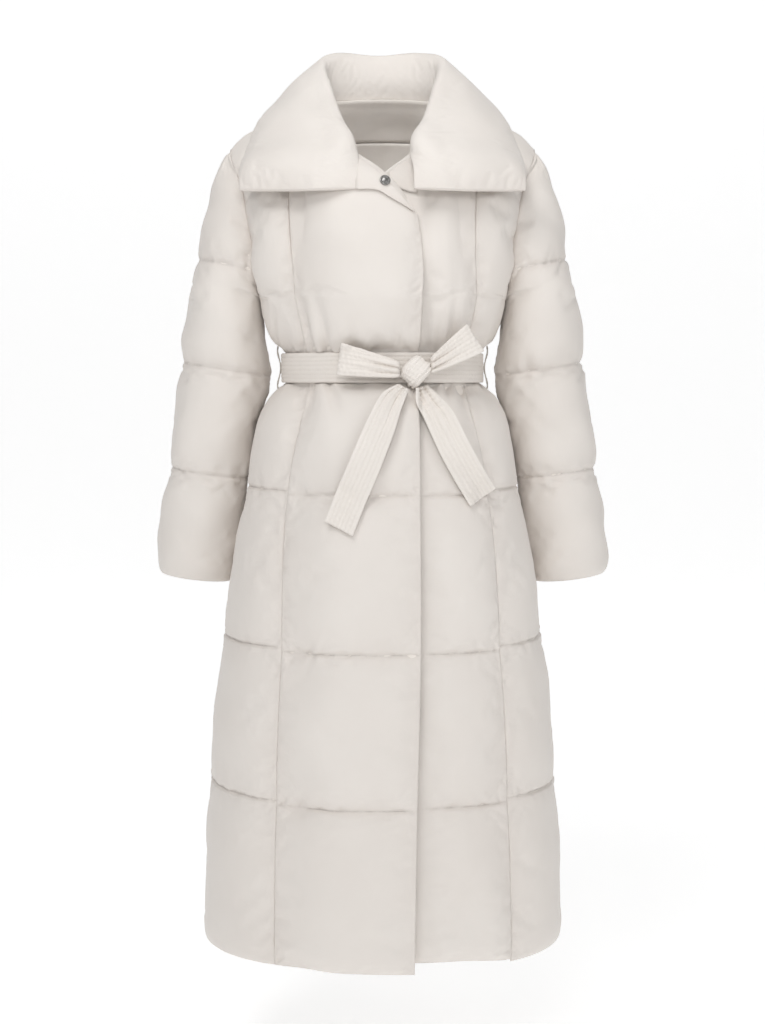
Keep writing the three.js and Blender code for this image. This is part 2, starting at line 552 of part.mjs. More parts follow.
// ---------------------------------------------------------------- collar
// Stations from the collar's front end round to the middle of the back. seam is where it is sewn to the
// neckline, fold is its top, edge its outer edge, and lift how far its fall arches out over the shoulder.
const COLLAR_STATIONS = [
  { seam: [31, -145, -126], fold: [81, -150, -126], edge: [183, -98, -121], lift: 1, stand: 0.32 },
  { seam: [31, -133, -99], fold: [79, -136, -96], edge: [184, -86, -101], lift: 9, stand: 0.32 },
  { seam: [33, -110, -75], fold: [42, -116, -62], edge: [181, -62, -79], lift: 16, stand: 0.1 },
  { seam: [57, -72, -42], fold: [51, -80, -31], edge: [174, -36, -54], lift: 18, stand: 0.13 },
  { seam: [77, -30, -8], fold: [64, -36, 8], edge: [167, -4, -27], lift: 11, stand: 0.22 },
  { seam: [85, 8, 5], fold: [77, 14, 56], edge: [160, 34, -20], lift: 6, stand: 0.33 },
  { seam: [76, 36, 9], fold: [71, 44, 77], edge: [138, 78, -32], lift: 8, stand: 0.37 },
  { seam: [44, 58, 14], fold: [44, 68, 86], edge: [82, 120, -52], lift: 12, stand: 0.37 },
  { seam: [0, 66, 17], fold: [0, 76, 86], edge: [0, 138, -58], lift: 14, stand: 0.37 },
];
const LEFT_SEAM_SHIFT = [9, 8, 3];            // on the left its first stations start this much further out
const COLLAR_SPANS = 20;
const COLLAR_SHARES = [0, 0.12, 0.25, 0.34, 0.42, 0.52, 0.68, 0.86, 1];
const COLLAR_THICKNESS = { sewn: 3, middle: 16, edge: 5 };
const COLLAR_END_PUFF = 0.35;                 // the share of its thickness at its front ends
const COLLAR_ARCH_RISE = 1.2;                 // its fall arches this much more upwards than outwards
const COLLAR_ARCH_EARLY = 0.8;                // and nearer its fold, the less this is below 1

function collarGrid() {
  const left = COLLAR_STATIONS.slice(0, -1).map((station, i) => {
    const [x, y, z] = station.seam;
    return { ...station, seam: [x + (LEFT_SEAM_SHIFT[i] ?? 0), y, z], side: 1 };
  });
  const both = [...COLLAR_STATIONS.map((station) => ({ ...station, side: -1 })), ...left.reverse()];
  const track = (read) => new THREE.CatmullRomCurve3(both.map(read), false, 'centripetal');
  const at = (key) => track(({ side, [key]: [x, y, z] }) => new THREE.Vector3(side * x, y, z));
  const curves = { seam: at('seam'), fold: at('fold'), edge: at('edge') };
  const scalars = track((s) => new THREE.Vector3(s.lift, s.stand * 100, 0));
  const points = steps(COLLAR_SPANS).map((w) => {
    const [seam, fold, edge] = ['seam', 'fold', 'edge'].map((key) => curves[key].getPoint(w));
    const { x: lift, y: standPercent } = scalars.getPoint(w);
    const stand = standPercent / 100;
    const out = edge.clone().sub(seam).setZ(0).normalize();
    const arch = new THREE.Vector3(out.x, out.y, COLLAR_ARCH_RISE).normalize();
    return COLLAR_SHARES.map((h) => {
      if (h <= stand) return seam.clone().lerp(fold, h / stand);
      const t = (h - stand) / (1 - stand);
      const arched = Math.sin(Math.PI * Math.pow(t, COLLAR_ARCH_EARLY));
      return fold.clone().lerp(edge, t).addScaledVector(arch, lift * arched);
    });
  });
  const normals = gridNormals(points);
  const last = points.length - 1;
  return points.map((row, i) => row.map((p, j) => {
    const h = COLLAR_SHARES[j];
    const ends = mix(COLLAR_END_PUFF, 1, pillow(i / last));
    const low = h < 0.5 ? COLLAR_THICKNESS.sewn : COLLAR_THICKNESS.edge;
    const thick = mix(low, COLLAR_THICKNESS.middle * ends, pillow(h));
    return { p, n: normals[i][j], out: thick / 2, back: thick / 2 };
  }));
}

// ---------------------------------------------------------------- what lies on the panels
/** The outer face of a wall as rows of points. */
const outerFace = (grid) => grid.map((row) => row.map(({ p, n, out }) => p.clone().addScaledVector(n, out)));

/** Finds how far forward a set of faces reaches at (x, z), as a y. */
function frontReader(faces) {
  const triangles = faces.flatMap((face) => face.slice(1).flatMap((row, i) => row.slice(1).flatMap((d, j) => [
    [face[i][j], face[i][j + 1], d], [face[i][j], d, row[j]],
  ])));
  return (x, z) => triangles.reduce((found, [a, b, c]) => {
    const area = (b.x - a.x) * (c.z - a.z) - (c.x - a.x) * (b.z - a.z);
    const u = ((x - a.x) * (c.z - a.z) - (c.x - a.x) * (z - a.z)) / area;
    const v = ((b.x - a.x) * (z - a.z) - (x - a.x) * (b.z - a.z)) / area;
    const inside = u >= -1e-6 && v >= -1e-6 && u + v <= 1 + 1e-6;
    return inside ? Math.min(found, a.y + u * (b.y - a.y) + v * (c.y - a.y)) : found;
  }, Infinity);
}

// Each turned-out facing from the collar's seam to the front's edge: roll is on the fold, edge below it.
const FACING_RIGHT = [
  { roll: [-31, -82], edge: [-30, -126] },
  { roll: [-15, -95], edge: [-6, -129] },
  { roll: [1, -110], edge: [10, -137] },
  { roll: [16, -126], edge: [23, -144] },
  { roll: [31, -142], edge: [34, -150] },
];
const FACING_LEFT = [
  { roll: [33, -82], edge: [33, -123] },
  { roll: [20, -92], edge: [19, -122] },
  { roll: [8, -102], edge: [8, -118] },
];
const FACING_THICKNESS = 2;
const RIGHT_FACING_LIFT = 0.8;                // the right facing clears the seam that it lies over
const ROLL_LIFT = 2.5;                        // the turned-out facing springs up where it rolls over
const COLUMN_SHARES = [0, 0.25, 0.5, 0.75, 1];

function facingGrid(stations, front, lift) {
  const points = stations.map(({ roll, edge }) => COLUMN_SHARES.map((h) => {
    const [x, z] = [mix(roll[0], edge[0], h), mix(roll[1], edge[1], h)];
    return new THREE.Vector3(x, front(x, z) - lift - ROLL_LIFT * (1 - h) ** 2, z);
  }));
  return evenWall(points, FACING_THICKNESS);
}

/** A wall of one thickness, halfway out and halfway back from its points. */
function evenWall(points, thickness) {
  const normals = gridNormals(points);
  const half = thickness / 2;
  return points.map((row, i) => row.map((p, j) => ({ p, n: normals[i][j], out: half, back: half })));
}

const INSIDE_THICKNESS = 1.2;
const NECK_FACING_ROWS = 3;                   // the neck facing's depth in rows; the lining starts below

/** Two pieces inside the back, made from the back panel's points moved in: the neck facing and the lining. */
function insideBack(grid) {
  const rows = grid.slice(HEIGHTS.indexOf(INSIDE_BACK_FROM), -1);
  const inner = rows.map((row) => row.slice(1, -1).map(({ p, n, back }) => ({
    p: p.clone().addScaledVector(n, -back - CLEARANCE),
    n: n.clone().negate(), out: INSIDE_THICKNESS, back: 0,
  })));
  return { lining: inner.slice(0, -NECK_FACING_ROWS), facing: inner.slice(-NECK_FACING_ROWS - 1) };
}

// ---------------------------------------------------------------- belt and bow
const BELT_COLUMNS = 40;
const BELT_INSET = 1.5;                       // the belt is this much narrower than its groove, each side
const BELT_LAP_ENDS_OVER = 26;                // past the front's edge the belt comes back in over this

function beltGrid() {
  const reach = SEAM_HALF_WALL + CLEARANCE + BELT_THICKNESS / 2;
  const points = [BELT_BOTTOM, BELT_TOP].map((z, top) => steps(BELT_COLUMNS).map((share) => {
    const turn = mix(-2, 2, share);
    const facing = Math.abs(turn) <= 1 ? 'front' : 'back';
    const inFront = facing === 'front' ? turn : Math.sign(turn) * 2 - turn;
    const p = sectionPoint(z, inFront, facing);
    p.z += top ? -BELT_INSET : BELT_INSET;
    return p;
  }));
  const normals = gridNormals(points);
  for (const row of normals) {
    const mean = row[0].clone().add(row[BELT_COLUMNS]).normalize();
    [row[0], row[BELT_COLUMNS]] = [mean, mean];
  }
  return facingOutGrid(points, normals, (p) => {
    const lap = p.y < 0 ? body(BELT_TOP, 'lap') * smooth((p.x + LAP_STARTS) / LAP_RAMP)
      * (1 - smooth((p.x - LAP_HIDES) / BELT_LAP_ENDS_OVER)) : 0;
    return reach + lap;
  });
}

function facingOutGrid(points, normals, reachAt) {
  const outwards = facingOut(normals, points, 0);
  return points.map((row, i) => row.map((p, j) => ({
    p: p.clone().addScaledVector(outwards[i][j], reachAt(p)),
    n: outwards[i][j], out: BELT_THICKNESS / 2, back: BELT_THICKNESS / 2,
  })));
}

// The bow's knot and what comes out of it. Places are across and up, half is half a ribbon's width there.
const KNOT = { x: 42, z: -354.5, halfWidth: 17, halfDepth: 12, halfHeight: 20, lean: -24 };
// Each loop of the bow from the knot to its folded end: heights and places are across and up.
const LOOPS = {
  bow_loop_right: { root: [22, -352], end: [-54, -339], rootHalf: 9, endHalf: 20.5, depth: 11, endLean: 8 },
  bow_loop_left: { root: [61, -347], end: [118, -312], rootHalf: 9, endHalf: 20.5, depth: 11, endLean: -33 },
};
const TAILS = {
  belt_tail_right: [
    { x: 26, z: -374, half: 8, lean: 28 },
    { x: 13, z: -388, half: 15, lean: 27 },
    { x: -3, z: -424, half: 19, lean: 25 },
    { x: -22, z: -470, half: 20, lean: 26 },
    { x: -41, z: -515, half: 20, lean: 27 },
    { x: -55, z: -550, half: 20, lean: 28 },
  ],
  belt_tail_left: [
    { x: 50, z: -374, half: 8, lean: -14 },
    { x: 57, z: -388, half: 15, lean: -14 },
    { x: 71, z: -409, half: 19, lean: -20 },
    { x: 91, z: -450, half: 20, lean: -28 },
    { x: 111, z: -486, half: 20, lean: -32 },
    { x: 129, z: -515, half: 20, lean: -33 },
  ],
};
const RIBBON_THICKNESS = 3.2;
const TAIL_LIFT = { knot: 17, end: 5 };           // how far a tail lies out from the front
const LOOP_SPANS = 12;
const LOOP_FORM = { turn: 0.8, widens: 0.7, rootBulge: 0.35 };   // how it bends round, widens and opens
const ACROSS = [-1, -0.5, 0, 0.5, 1];

/** The direction across a ribbon that leans by some degrees from level. */
const leaning = (degrees) => {
  const angle = THREE.MathUtils.degToRad(degrees);
  return new THREE.Vector3(Math.cos(angle), 0, -Math.sin(angle));
};

function tailGrid(stations, front) {
  const points = stations.map(({ x, z, half, lean }, i) => ACROSS.map((a) => {
    const p = new THREE.Vector3(x, 0, z).addScaledVector(leaning(lean), a * half);
    const lift = mix(TAIL_LIFT.knot, TAIL_LIFT.end, i / (stations.length - 1));
    p.y = Math.min(front(p.x, p.z), front(x, z)) - lift;
    return p;
  }));
  return evenWall(points, RIBBON_THICKNESS);
}

function loopGrid({ root, end, rootHalf, endHalf, depth, endLean }, front) {
  const behind = Math.min(front(root[0], root[1]), front((root[0] + end[0]) / 2, (root[1] + end[1]) / 2));
  const points = steps(LOOP_SPANS).map((t) => {
    const reach = Math.pow(Math.sin(Math.PI * t), LOOP_FORM.turn);
    const bulge = Math.cos(Math.PI * t) * mix(LOOP_FORM.rootBulge, 1, Math.sin(Math.PI * t));
    const x = mix(root[0], end[0], reach);
    const z = mix(root[1], end[1], reach);
    const half = mix(rootHalf, endHalf, Math.pow(reach, LOOP_FORM.widens));
    const way = leaning(90 + endLean * reach).multiplyScalar(half);
    return ACROSS.map((a) => {
      const p = new THREE.Vector3(x, 0, z).addScaledVector(way, a);
      const rest = Math.min(behind, front(p.x, p.z));
      p.y = rest - CLEARANCE - RIBBON_THICKNESS - depth * (1 + bulge);
      return p;
    });
  });
  return evenWall(points, RIBBON_THICKNESS);
}

// Thread loops at the side seams that carry the belt.
const CARRIER = { radius: 1, above: 9, below: 7, standOff: 3.2, bow: 1, topRoot: 7, lowRoot: 8 };

function carrierGeometry(mirror) {
  const at = (z, out) => {
    const p = sectionPoint(z, 1, 'front');
    return new THREE.Vector3(mirror * (p.x + out), p.y, z);
  };
  const beltOut = SEAM_HALF_WALL + CLEARANCE + BELT_THICKNESS + CARRIER.standOff;
  const path = new THREE.CatmullRomCurve3([
    at(BELT_TOP + CARRIER.above, CARRIER.topRoot),
    at(BELT_TOP + CARRIER.bow, beltOut + 2 * CARRIER.bow),
    at((BELT_TOP + BELT_BOTTOM) / 2, beltOut + CARRIER.bow),
    at(BELT_BOTTOM - CARRIER.bow, beltOut + 2 * CARRIER.bow),
    at(BELT_BOTTOM - CARRIER.below, CARRIER.lowRoot),
  ]);
  const round = new THREE.Shape().absarc(0, 0, CARRIER.radius, 0, 2 * Math.PI);
  const along = { steps: 7, curveSegments: 3, extrudePath: path, bevelEnabled: false };
  return new THREE.ExtrudeGeometry(round, along);
}

// ---------------------------------------------------------------- snaps
const SNAP = { radius: 6.8, bowlRadius: 5.2, height: 2.6, bowl: 0.9, segments: 16, clear: 2 };
const STUD = { radius: 4.5, bowlRadius: 2.4, height: 1.6, bowl: 0.8, segments: 12, x: 41, z: -773, sunk: 0.4 };
const SNAP_EDGE = { rounding: 1, startsAt: 0.6, bowlSlope: 0.8 };

function snapGeometry({ radius, bowlRadius, height, bowl, segments }) {
  const profile = [
    [0, 0], [radius, 0], [radius, height * SNAP_EDGE.startsAt], [radius - SNAP_EDGE.rounding, height],
    [bowlRadius, height], [bowlRadius - SNAP_EDGE.bowlSlope, bowl], [0, bowl],
  ].map(([x, y]) => new THREE.Vector2(x, y));
  return new THREE.LatheGeometry(profile, segments);
}

const turnedTo = (n) => new THREE.Quaternion().setFromUnitVectors(new THREE.Vector3(0, 1, 0), n);

// ---------------------------------------------------------------- assembling
const coat = new THREE.Group();

function add(name, geometry, look, place = {}) {
  const material = new THREE.MeshStandardMaterial(
    { color: look.colour, roughness: look.roughness, metalness: look.metalness });
  const mesh = new THREE.Mesh(geometry, material);
  mesh.name = name;
  if (place.position) mesh.position.copy(place.position);
  if (place.quaternion) mesh.quaternion.copy(place.quaternion);
  coat.add(mesh);
}

const halfGap = SEAM_GAP / 2;
const panels = bodyPanels();
const arm = sleeveForm();
const sleeves = { right: joinArmhole(arm, panels, 'right'), left: joinArmhole(arm, panels, 'left') };
const allSeams = { first: true, last: true, top: true };
const freeFront = { last: true, top: true };
const fronts = {
  front_right_centre: trimmed(padded(panels['right.frontCentre'], { over: true }), halfGap, freeFront),
  front_right_side: trimmed(padded(panels['right.frontSide'], { sideways: true }), halfGap, allSeams),
  front_left_centre: trimmed(padded(panels['left.frontCentre'], { under: true }), halfGap, freeFront),
  front_left_side: trimmed(padded(panels['left.frontSide'], { sideways: true }), halfGap, allSeams),
};
const backs = {
  back_centre: trimmed(padded(panels['back.centre']), halfGap, allSeams),
  back_right_side: trimmed(padded(panels['right.backSide'], { sideways: true }), halfGap, allSeams),
  back_left_side: trimmed(padded(panels['left.backSide'], { sideways: true }), halfGap, allSeams),
};
for (const [name, grid] of Object.entries({ ...fronts, ...backs })) add(name, clothWall(grid), FABRIC);

const mirrorCell = (cell) => ({
  ...cell,
  p: new THREE.Vector3(-cell.p.x, cell.p.y, cell.p.z),
  n: new THREE.Vector3(-cell.n.x, cell.n.y, cell.n.z),
});
const SLEEVE_GAP = 0.5;                       // the sleeves meet the panels at a slant, so wider
const SLEEVE_TOP_GAP = 2.6;
const sleeveSeams = { ...allSeams, topGap: SLEEVE_TOP_GAP };
const sleeveWall = (which) => trimmed(sleeveGrid(sleeves[which]), SLEEVE_GAP, sleeveSeams);
add('sleeve_left', clothWall(sleeveWall('left')), FABRIC);
add('sleeve_right', clothWall(sleeveWall('right').map((row) => row.map(mirrorCell))), FABRIC);
add('collar', clothWall(collarGrid()), FABRIC);

const overFronts = frontReader(Object.values(fronts).map(outerFace));
const overLeftFront = frontReader([outerFace(fronts.front_left_centre)]);
const facingLift = CLEARANCE + FACING_THICKNESS / 2;
const facingRight = facingGrid(FACING_RIGHT, overFronts, facingLift + RIGHT_FACING_LIFT);
const facingLeft = facingGrid(FACING_LEFT, overLeftFront, facingLift);
add('front_facing_right', clothWall(facingRight), FABRIC);
add('front_facing_left', clothWall(facingLeft), FABRIC);
const inside = insideBack(backs.back_centre);
add('back_neck_facing', clothWall(trimmed(inside.facing, halfGap, {})), LINING);
add('back_lining', clothWall(trimmed(inside.lining, halfGap, { top: true })), LINING);

const belt = beltGrid();
add('belt_band', clothWall(belt), FABRIC);
const overBelt = frontReader([...Object.values(fronts), belt].map(outerFace));
for (const [name, loop] of Object.entries(LOOPS)) add(name, clothWall(loopGrid(loop, overBelt)), FABRIC);
for (const [name, tail] of Object.entries(TAILS)) add(name, clothWall(tailGrid(tail, overBelt)), FABRIC);

const knotForm = new THREE.SphereGeometry(1, 12, 8).scale(KNOT.halfWidth, KNOT.halfDepth, KNOT.halfHeight);
knotForm.rotateY(THREE.MathUtils.degToRad(KNOT.lean));
const knotAt = new THREE.Vector3(KNOT.x, overBelt(KNOT.x, KNOT.z) - KNOT.halfDepth - CLEARANCE, KNOT.z);
add('belt_knot', knotForm, FABRIC, { position: knotAt });
add('belt_carrier_right', carrierGeometry(-1), THREAD);
add('belt_carrier_left', carrierGeometry(1), THREAD);

const { p: snapSpot, n: snapWay } = facingRight[2][1];
const snapOut = snapWay.y < 0 ? snapWay : snapWay.clone().negate();
add('collar_snap', snapGeometry(SNAP), METAL, {
  position: snapSpot.clone().addScaledVector(snapOut, FACING_THICKNESS / 2 + SNAP.clear),
  quaternion: turnedTo(snapOut),
});
const studWay = new THREE.Vector3(0, -1, 0);
const studSpot = new THREE.Vector3(STUD.x, overLeftFront(STUD.x, STUD.z) - STUD.sunk, STUD.z);
add('placket_snap', snapGeometry(STUD), METAL, { position: studSpot, quaternion: turnedTo(studWay) });

export default coat;
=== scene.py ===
"""A long belted puffer coat, filled out as it is worn, with no wearer in it.

The forms are worked out in millimetres in the coat's own frame: +Z up, the front towards -Y and the wearer's
left at +X. Each piece of cloth is a grid of points along its seams with the way out at each point. Its padding
is blown up by a cloth simulation that holds the seams, its creases are pressed in afterwards, and it becomes
one closed mesh in metres.
"""
from __future__ import annotations

import logging
import math
from collections.abc import Callable, Sequence
from dataclasses import dataclass, field
from enum import Enum

import bpy
import numpy as np
from mathutils import Matrix, Vector
from mathutils.bvhtree import BVHTree

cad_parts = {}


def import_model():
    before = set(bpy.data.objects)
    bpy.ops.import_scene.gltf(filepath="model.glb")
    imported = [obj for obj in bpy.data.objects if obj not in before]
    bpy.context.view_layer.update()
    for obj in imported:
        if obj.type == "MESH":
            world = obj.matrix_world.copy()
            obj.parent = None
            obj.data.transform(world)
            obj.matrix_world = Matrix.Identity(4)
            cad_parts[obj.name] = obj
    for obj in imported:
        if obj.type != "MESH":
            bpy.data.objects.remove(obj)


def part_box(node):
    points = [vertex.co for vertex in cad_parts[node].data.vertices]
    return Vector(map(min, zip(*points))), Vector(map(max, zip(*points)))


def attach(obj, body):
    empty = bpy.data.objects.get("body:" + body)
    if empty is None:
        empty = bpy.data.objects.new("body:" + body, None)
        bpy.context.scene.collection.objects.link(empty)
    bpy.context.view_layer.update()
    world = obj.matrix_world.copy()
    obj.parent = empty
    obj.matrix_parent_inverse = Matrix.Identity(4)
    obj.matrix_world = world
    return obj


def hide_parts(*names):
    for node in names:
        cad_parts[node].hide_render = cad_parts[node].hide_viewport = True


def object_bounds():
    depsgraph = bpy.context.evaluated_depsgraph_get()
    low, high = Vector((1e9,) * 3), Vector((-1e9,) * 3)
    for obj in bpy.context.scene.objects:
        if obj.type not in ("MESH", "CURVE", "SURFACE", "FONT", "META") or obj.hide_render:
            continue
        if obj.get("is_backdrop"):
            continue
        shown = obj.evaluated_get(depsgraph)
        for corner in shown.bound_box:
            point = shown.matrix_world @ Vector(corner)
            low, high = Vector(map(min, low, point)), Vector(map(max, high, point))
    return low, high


LOG = logging.getLogger("coat")
Array = np.ndarray
Rgb = tuple[float, float, float]
Rng = np.random.Generator
Material = bpy.types.Material
Object = bpy.types.Object
Socket = bpy.types.NodeSocket
MM = 0.001

# ---- sizes, in millimetres
HEM, ARMPIT = -1115.0, -257.0
BELT_BOTTOM, BELT_TOP = -371.0, -329.0
QUILT_LINES = (-907.0, -711.0, -512.0)
HALF_WALL = 1.2            # half the cloth's thickness where it is sewn through
SEAM_GAP = 0.15            # from a piece's edge to the middle of its seam
LAP_STARTS, LAP_RAMP = 112.0, 56.0
LAP_FADE, LAP_FADES_FROM = 0.85, -125.0
LAP_HIDES = 51.0           # the left front is pressed flat up to here
SEAM_BLEND = 16.0          # how far from a seam two panels still turn towards each other
NEAR = 14.0                # how far from its stitches cloth is still creased and darkened with painted shade
KNOT_NEAR = 0.4            # how creased the knot is all over, as a nearness, which also darkens it all over with painted seam shade


class Side(Enum):
    """A half of the coat, by its wearer, with the sign of x there."""

    RIGHT = -1
    LEFT = 1


class Face(Enum):
    """The front or the back of the body, with the sign of y there."""

    FRONT = -1
    BACK = 1


# ---- small tools
def smooth(value: Array | float) -> Array:
    """Ease from 0 to 1 as the value goes from 0 to 1."""
    k = np.clip(value, 0.0, 1.0)
    return k * k * (3 - 2 * k)


def mix(a: Array | float, b: Array | float, share: Array | float) -> Array:
    """Give the value at a share of the way from a to b."""
    return a + (b - a) * share


def unit(vectors: Array) -> Array:
    """Scale vectors to a length of one."""
    return vectors / np.maximum(np.linalg.norm(vectors, axis=-1, keepdims=True), 1e-9)


def bell(value: Array) -> Array:
    """Fall smoothly from 1 at zero, to a third at one and to nothing past two."""
    return np.exp(-(value**2))


def swell(distance: Array, reach: float, power: float = 2.5) -> Array:
    """Rise steeply from a seam and level out at its reach.

    Args:
        distance: how far each point is from the seam.
        reach: where the rise ends.
        power: how steeply it starts.

    Returns:
        0 on the seam and 1 from the reach on.
    """
    return 1 - (1 - np.clip(distance / reach, 0.0, 1.0)) ** power


def rounded(distance: Array, radius: float) -> Array:
    """Give the profile of a rounded edge: 0 on the edge, 1 a radius in from it."""
    return np.sqrt(1 - (1 - np.clip(distance / radius, 0.0, 1.0)) ** 2)


def graded(count: int, closeness: float = 0.5) -> Array:
    """Give shares from 0 to 1 that lie closer together near both ends."""
    t = np.linspace(0, 1, count + 1)
    return t - closeness * np.sin(2 * np.pi * t) / (2 * np.pi)


def arc_lengths(points: Array, axis: int) -> Array:
    """Measure along the lines of a grid of points, from the first point of each line."""
    gaps = np.linalg.norm(np.diff(points, axis=axis), axis=-1)
    start = np.zeros_like(np.take(gaps, [0], axis=axis))
    return np.cumsum(np.concatenate([start, gaps], axis=axis), axis=axis)


def from_last(points: Array) -> Array:
    """Measure along the columns of a grid of points, from its last row back."""
    return arc_lengths(points[::-1], 0)[::-1]


def turned_to(normals: Array, way: Array) -> Array:
    """Turn round the normals that look away from a given way."""
    return np.where((normals * way).sum(-1, keepdims=True) < 0, -normals, normals)


def read_along(values: Array, lengths: Array, at: Array) -> Array:
    """Read rows of three values, which lie at some lengths along a line, at other lengths."""
    return np.stack([np.interp(at, lengths, values[:, k]) for k in range(3)], axis=-1)


def grid_normals(points: Array) -> Array:
    """Find the way out of a grid of points from its neighbours."""
    return unit(np.cross(np.gradient(points, axis=1), np.gradient(points, axis=0)))


def blurred(grid: Array, axis: int, passes: int) -> Array:
    """Smooth a grid along one axis and keep its two ends where they are."""
    result = np.moveaxis(grid.copy(), axis, 0)
    for _ in range(passes):
        result[1:-1] = (result[:-2] + 2 * result[1:-1] + result[2:]) / 4
    return np.moveaxis(result, 0, axis)


def refined(grid: Array) -> Array:
    """Put a point midway between each two of a grid's points, both ways, on smooth curves."""
    for axis in (0, 1):
        rows = np.moveaxis(grid, axis, 0)
        wide = np.concatenate([2 * rows[:1] - rows[1:2], rows, 2 * rows[-1:] - rows[-2:-1]])
        between = (9 * (wide[1:-2] + wide[2:-1]) - wide[:-3] - wide[3:]) / 16
        finer = np.empty((2 * len(rows) - 1, *rows.shape[1:]))
        finer[::2] = rows
        finer[1::2] = between
        grid = np.moveaxis(finer, 0, axis)
    return grid


def mirrored(points: Array, side: Side) -> Array:
    """Turn points worked out for the left half into those of the given half."""
    return points * np.array([side.value, 1.0, 1.0])


def unevenness(points: Array, wavelength: float, rng: Rng) -> Array:
    """Give slow waves over points in space, about as high as 1 and as low as -1."""
    total = np.zeros(points.shape[:-1])
    for _ in range(7):
        way = unit(rng.normal(size=3)) * 2 * math.pi / (wavelength * rng.uniform(0.75, 1.5))
        total += np.sin(points @ way + rng.uniform(0, 2 * math.pi))
    return total / 3.2


def grid_faces(rows: int, columns: int, first: int = 0) -> Array:
    """Give the corners of a grid's cells, with its points numbered row by row from the first."""
    index = np.arange(rows * columns).reshape(rows, columns) + first
    return np.stack([index[:-1, :-1], index[:-1, 1:], index[1:, 1:], index[1:, :-1]], axis=-1).reshape(-1, 4)


def facing_out(verts: Array, faces: Array) -> Array:
    """Turn the four-sided faces of closed meshes round if they look inwards."""
    a, b, c, d = (verts[faces[:, k]] for k in range(4))
    return faces[:, ::-1] if (a * (np.cross(b, c) + np.cross(c, d))).sum() < 0 else faces


def mesh_object(name: str, verts: Array, faces: Sequence[Sequence[int]], *materials: Material) -> Object:
    """Make a smooth object at the origin.

    Args:
        name: its name.
        verts: its points, in millimetres.
        faces: the points of each face.
        materials: its materials.

    Returns:
        The new object.
    """
    mesh = bpy.data.meshes.new(name)
    mesh.from_pydata((verts * MM).tolist(), [], faces)
    for material in materials:
        mesh.materials.append(material)
    mesh.polygons.foreach_set("use_smooth", np.ones(len(faces), dtype=bool))
    mesh.update()
    made = bpy.data.objects.new(name, mesh)
    bpy.context.scene.collection.objects.link(made)
    return made


def lay_cloth(mesh: bpy.types.Mesh, places: Array, near: Array) -> None:
    """Map cloth onto a mesh.

    Args:
        mesh: the mesh.
        places: each point's place on the cloth, in millimetres, for a UV map in metres.
        near: how near each point is to a line of stitches.
    """
    corners = np.empty(len(mesh.loops), dtype=np.int32)
    mesh.loops.foreach_get("vertex_index", corners)
    mesh.uv_layers.new(name="cloth").data.foreach_set("uv", (places * MM)[corners].ravel())
    mesh.attributes.new("near_seam", "FLOAT", "POINT").data.foreach_set("value", near)


class Table:
    """Rows of named sizes, read at any value of their first column along smooth curves."""

    def __init__(self, columns: str, rows: Sequence[Sequence[float]]) -> None:
        """Keep the rows in order of their first column."""
        data = np.array(sorted(rows), dtype=float)
        self.key = data[:, 0]
        self.columns = {name: data[:, i] for i, name in enumerate(columns.split())}

    def __call__(self, column: str, value: Array | float) -> Array:
        """Read a column.

        Args:
            column: its name.
            value: where to read it, by the first column.

        Returns:
            The column's value there.
        """
        y = self.columns[column]
        order = np.arange(len(y))
        after, before = np.minimum(order + 1, len(y) - 1), np.maximum(order - 1, 0)
        slope = (y[after] - y[before]) / (self.key[after] - self.key[before])
        i = np.clip(np.searchsorted(self.key, value, side="right") - 1, 0, len(y) - 2)
        span = self.key[i + 1] - self.key[i]
        t = np.clip((value - self.key[i]) / span, 0.0, 1.0)
        start = (2 * t**3 - 3 * t**2 + 1) * y[i] + (t**3 - 2 * t**2 + t) * span * slope[i]
        return start + (3 * t**2 - 2 * t**3) * y[i + 1] + (t**3 - t**2) * span * slope[i + 1]


class Curve:
    """A smooth curve through points."""

    FINE = 400

    def __init__(self, points: Sequence[Sequence[float]]) -> None:
        """Keep the points, with one more past each end."""
        inner = np.array(points, dtype=float)
        self.points = np.vstack([2 * inner[0] - inner[1], inner, 2 * inner[-1] - inner[-2]])

    def at(self, share: Array | float) -> Array:
        """Give the point at a share of the number of spans."""
        spans = len(self.points) - 3
        place = np.clip(np.asarray(share, dtype=float), 0.0, 1.0) * spans
        i = np.minimum(place.astype(int), spans - 1)
        t = (place - i)[..., None]
        a, b, c, d = (self.points[i + k] for k in range(4))
        first, middle, last = (np.maximum(np.sqrt(np.linalg.norm(q - p, axis=-1, keepdims=True)), 1e-3)
                               for p, q in ((a, b), (b, c), (c, d)))
        start = ((b - a) / first - (c - a) / (first + middle) + (c - b) / middle) * middle
        end = ((c - b) / middle - (d - b) / (middle + last) + (d - c) / last) * middle
        return b + start * t + (3 * (c - b) - 2 * start - end) * t**2 + (2 * (b - c) + start + end) * t**3

    def along(self, share: Array | float) -> Array:
        """Give the point at a share of the length."""
        fine = np.linspace(0, 1, self.FINE)
        lengths = arc_lengths(self.at(fine)[:, None], 0)[:, 0]
        return self.at(np.interp(np.asarray(share) * lengths[-1], lengths, fine))


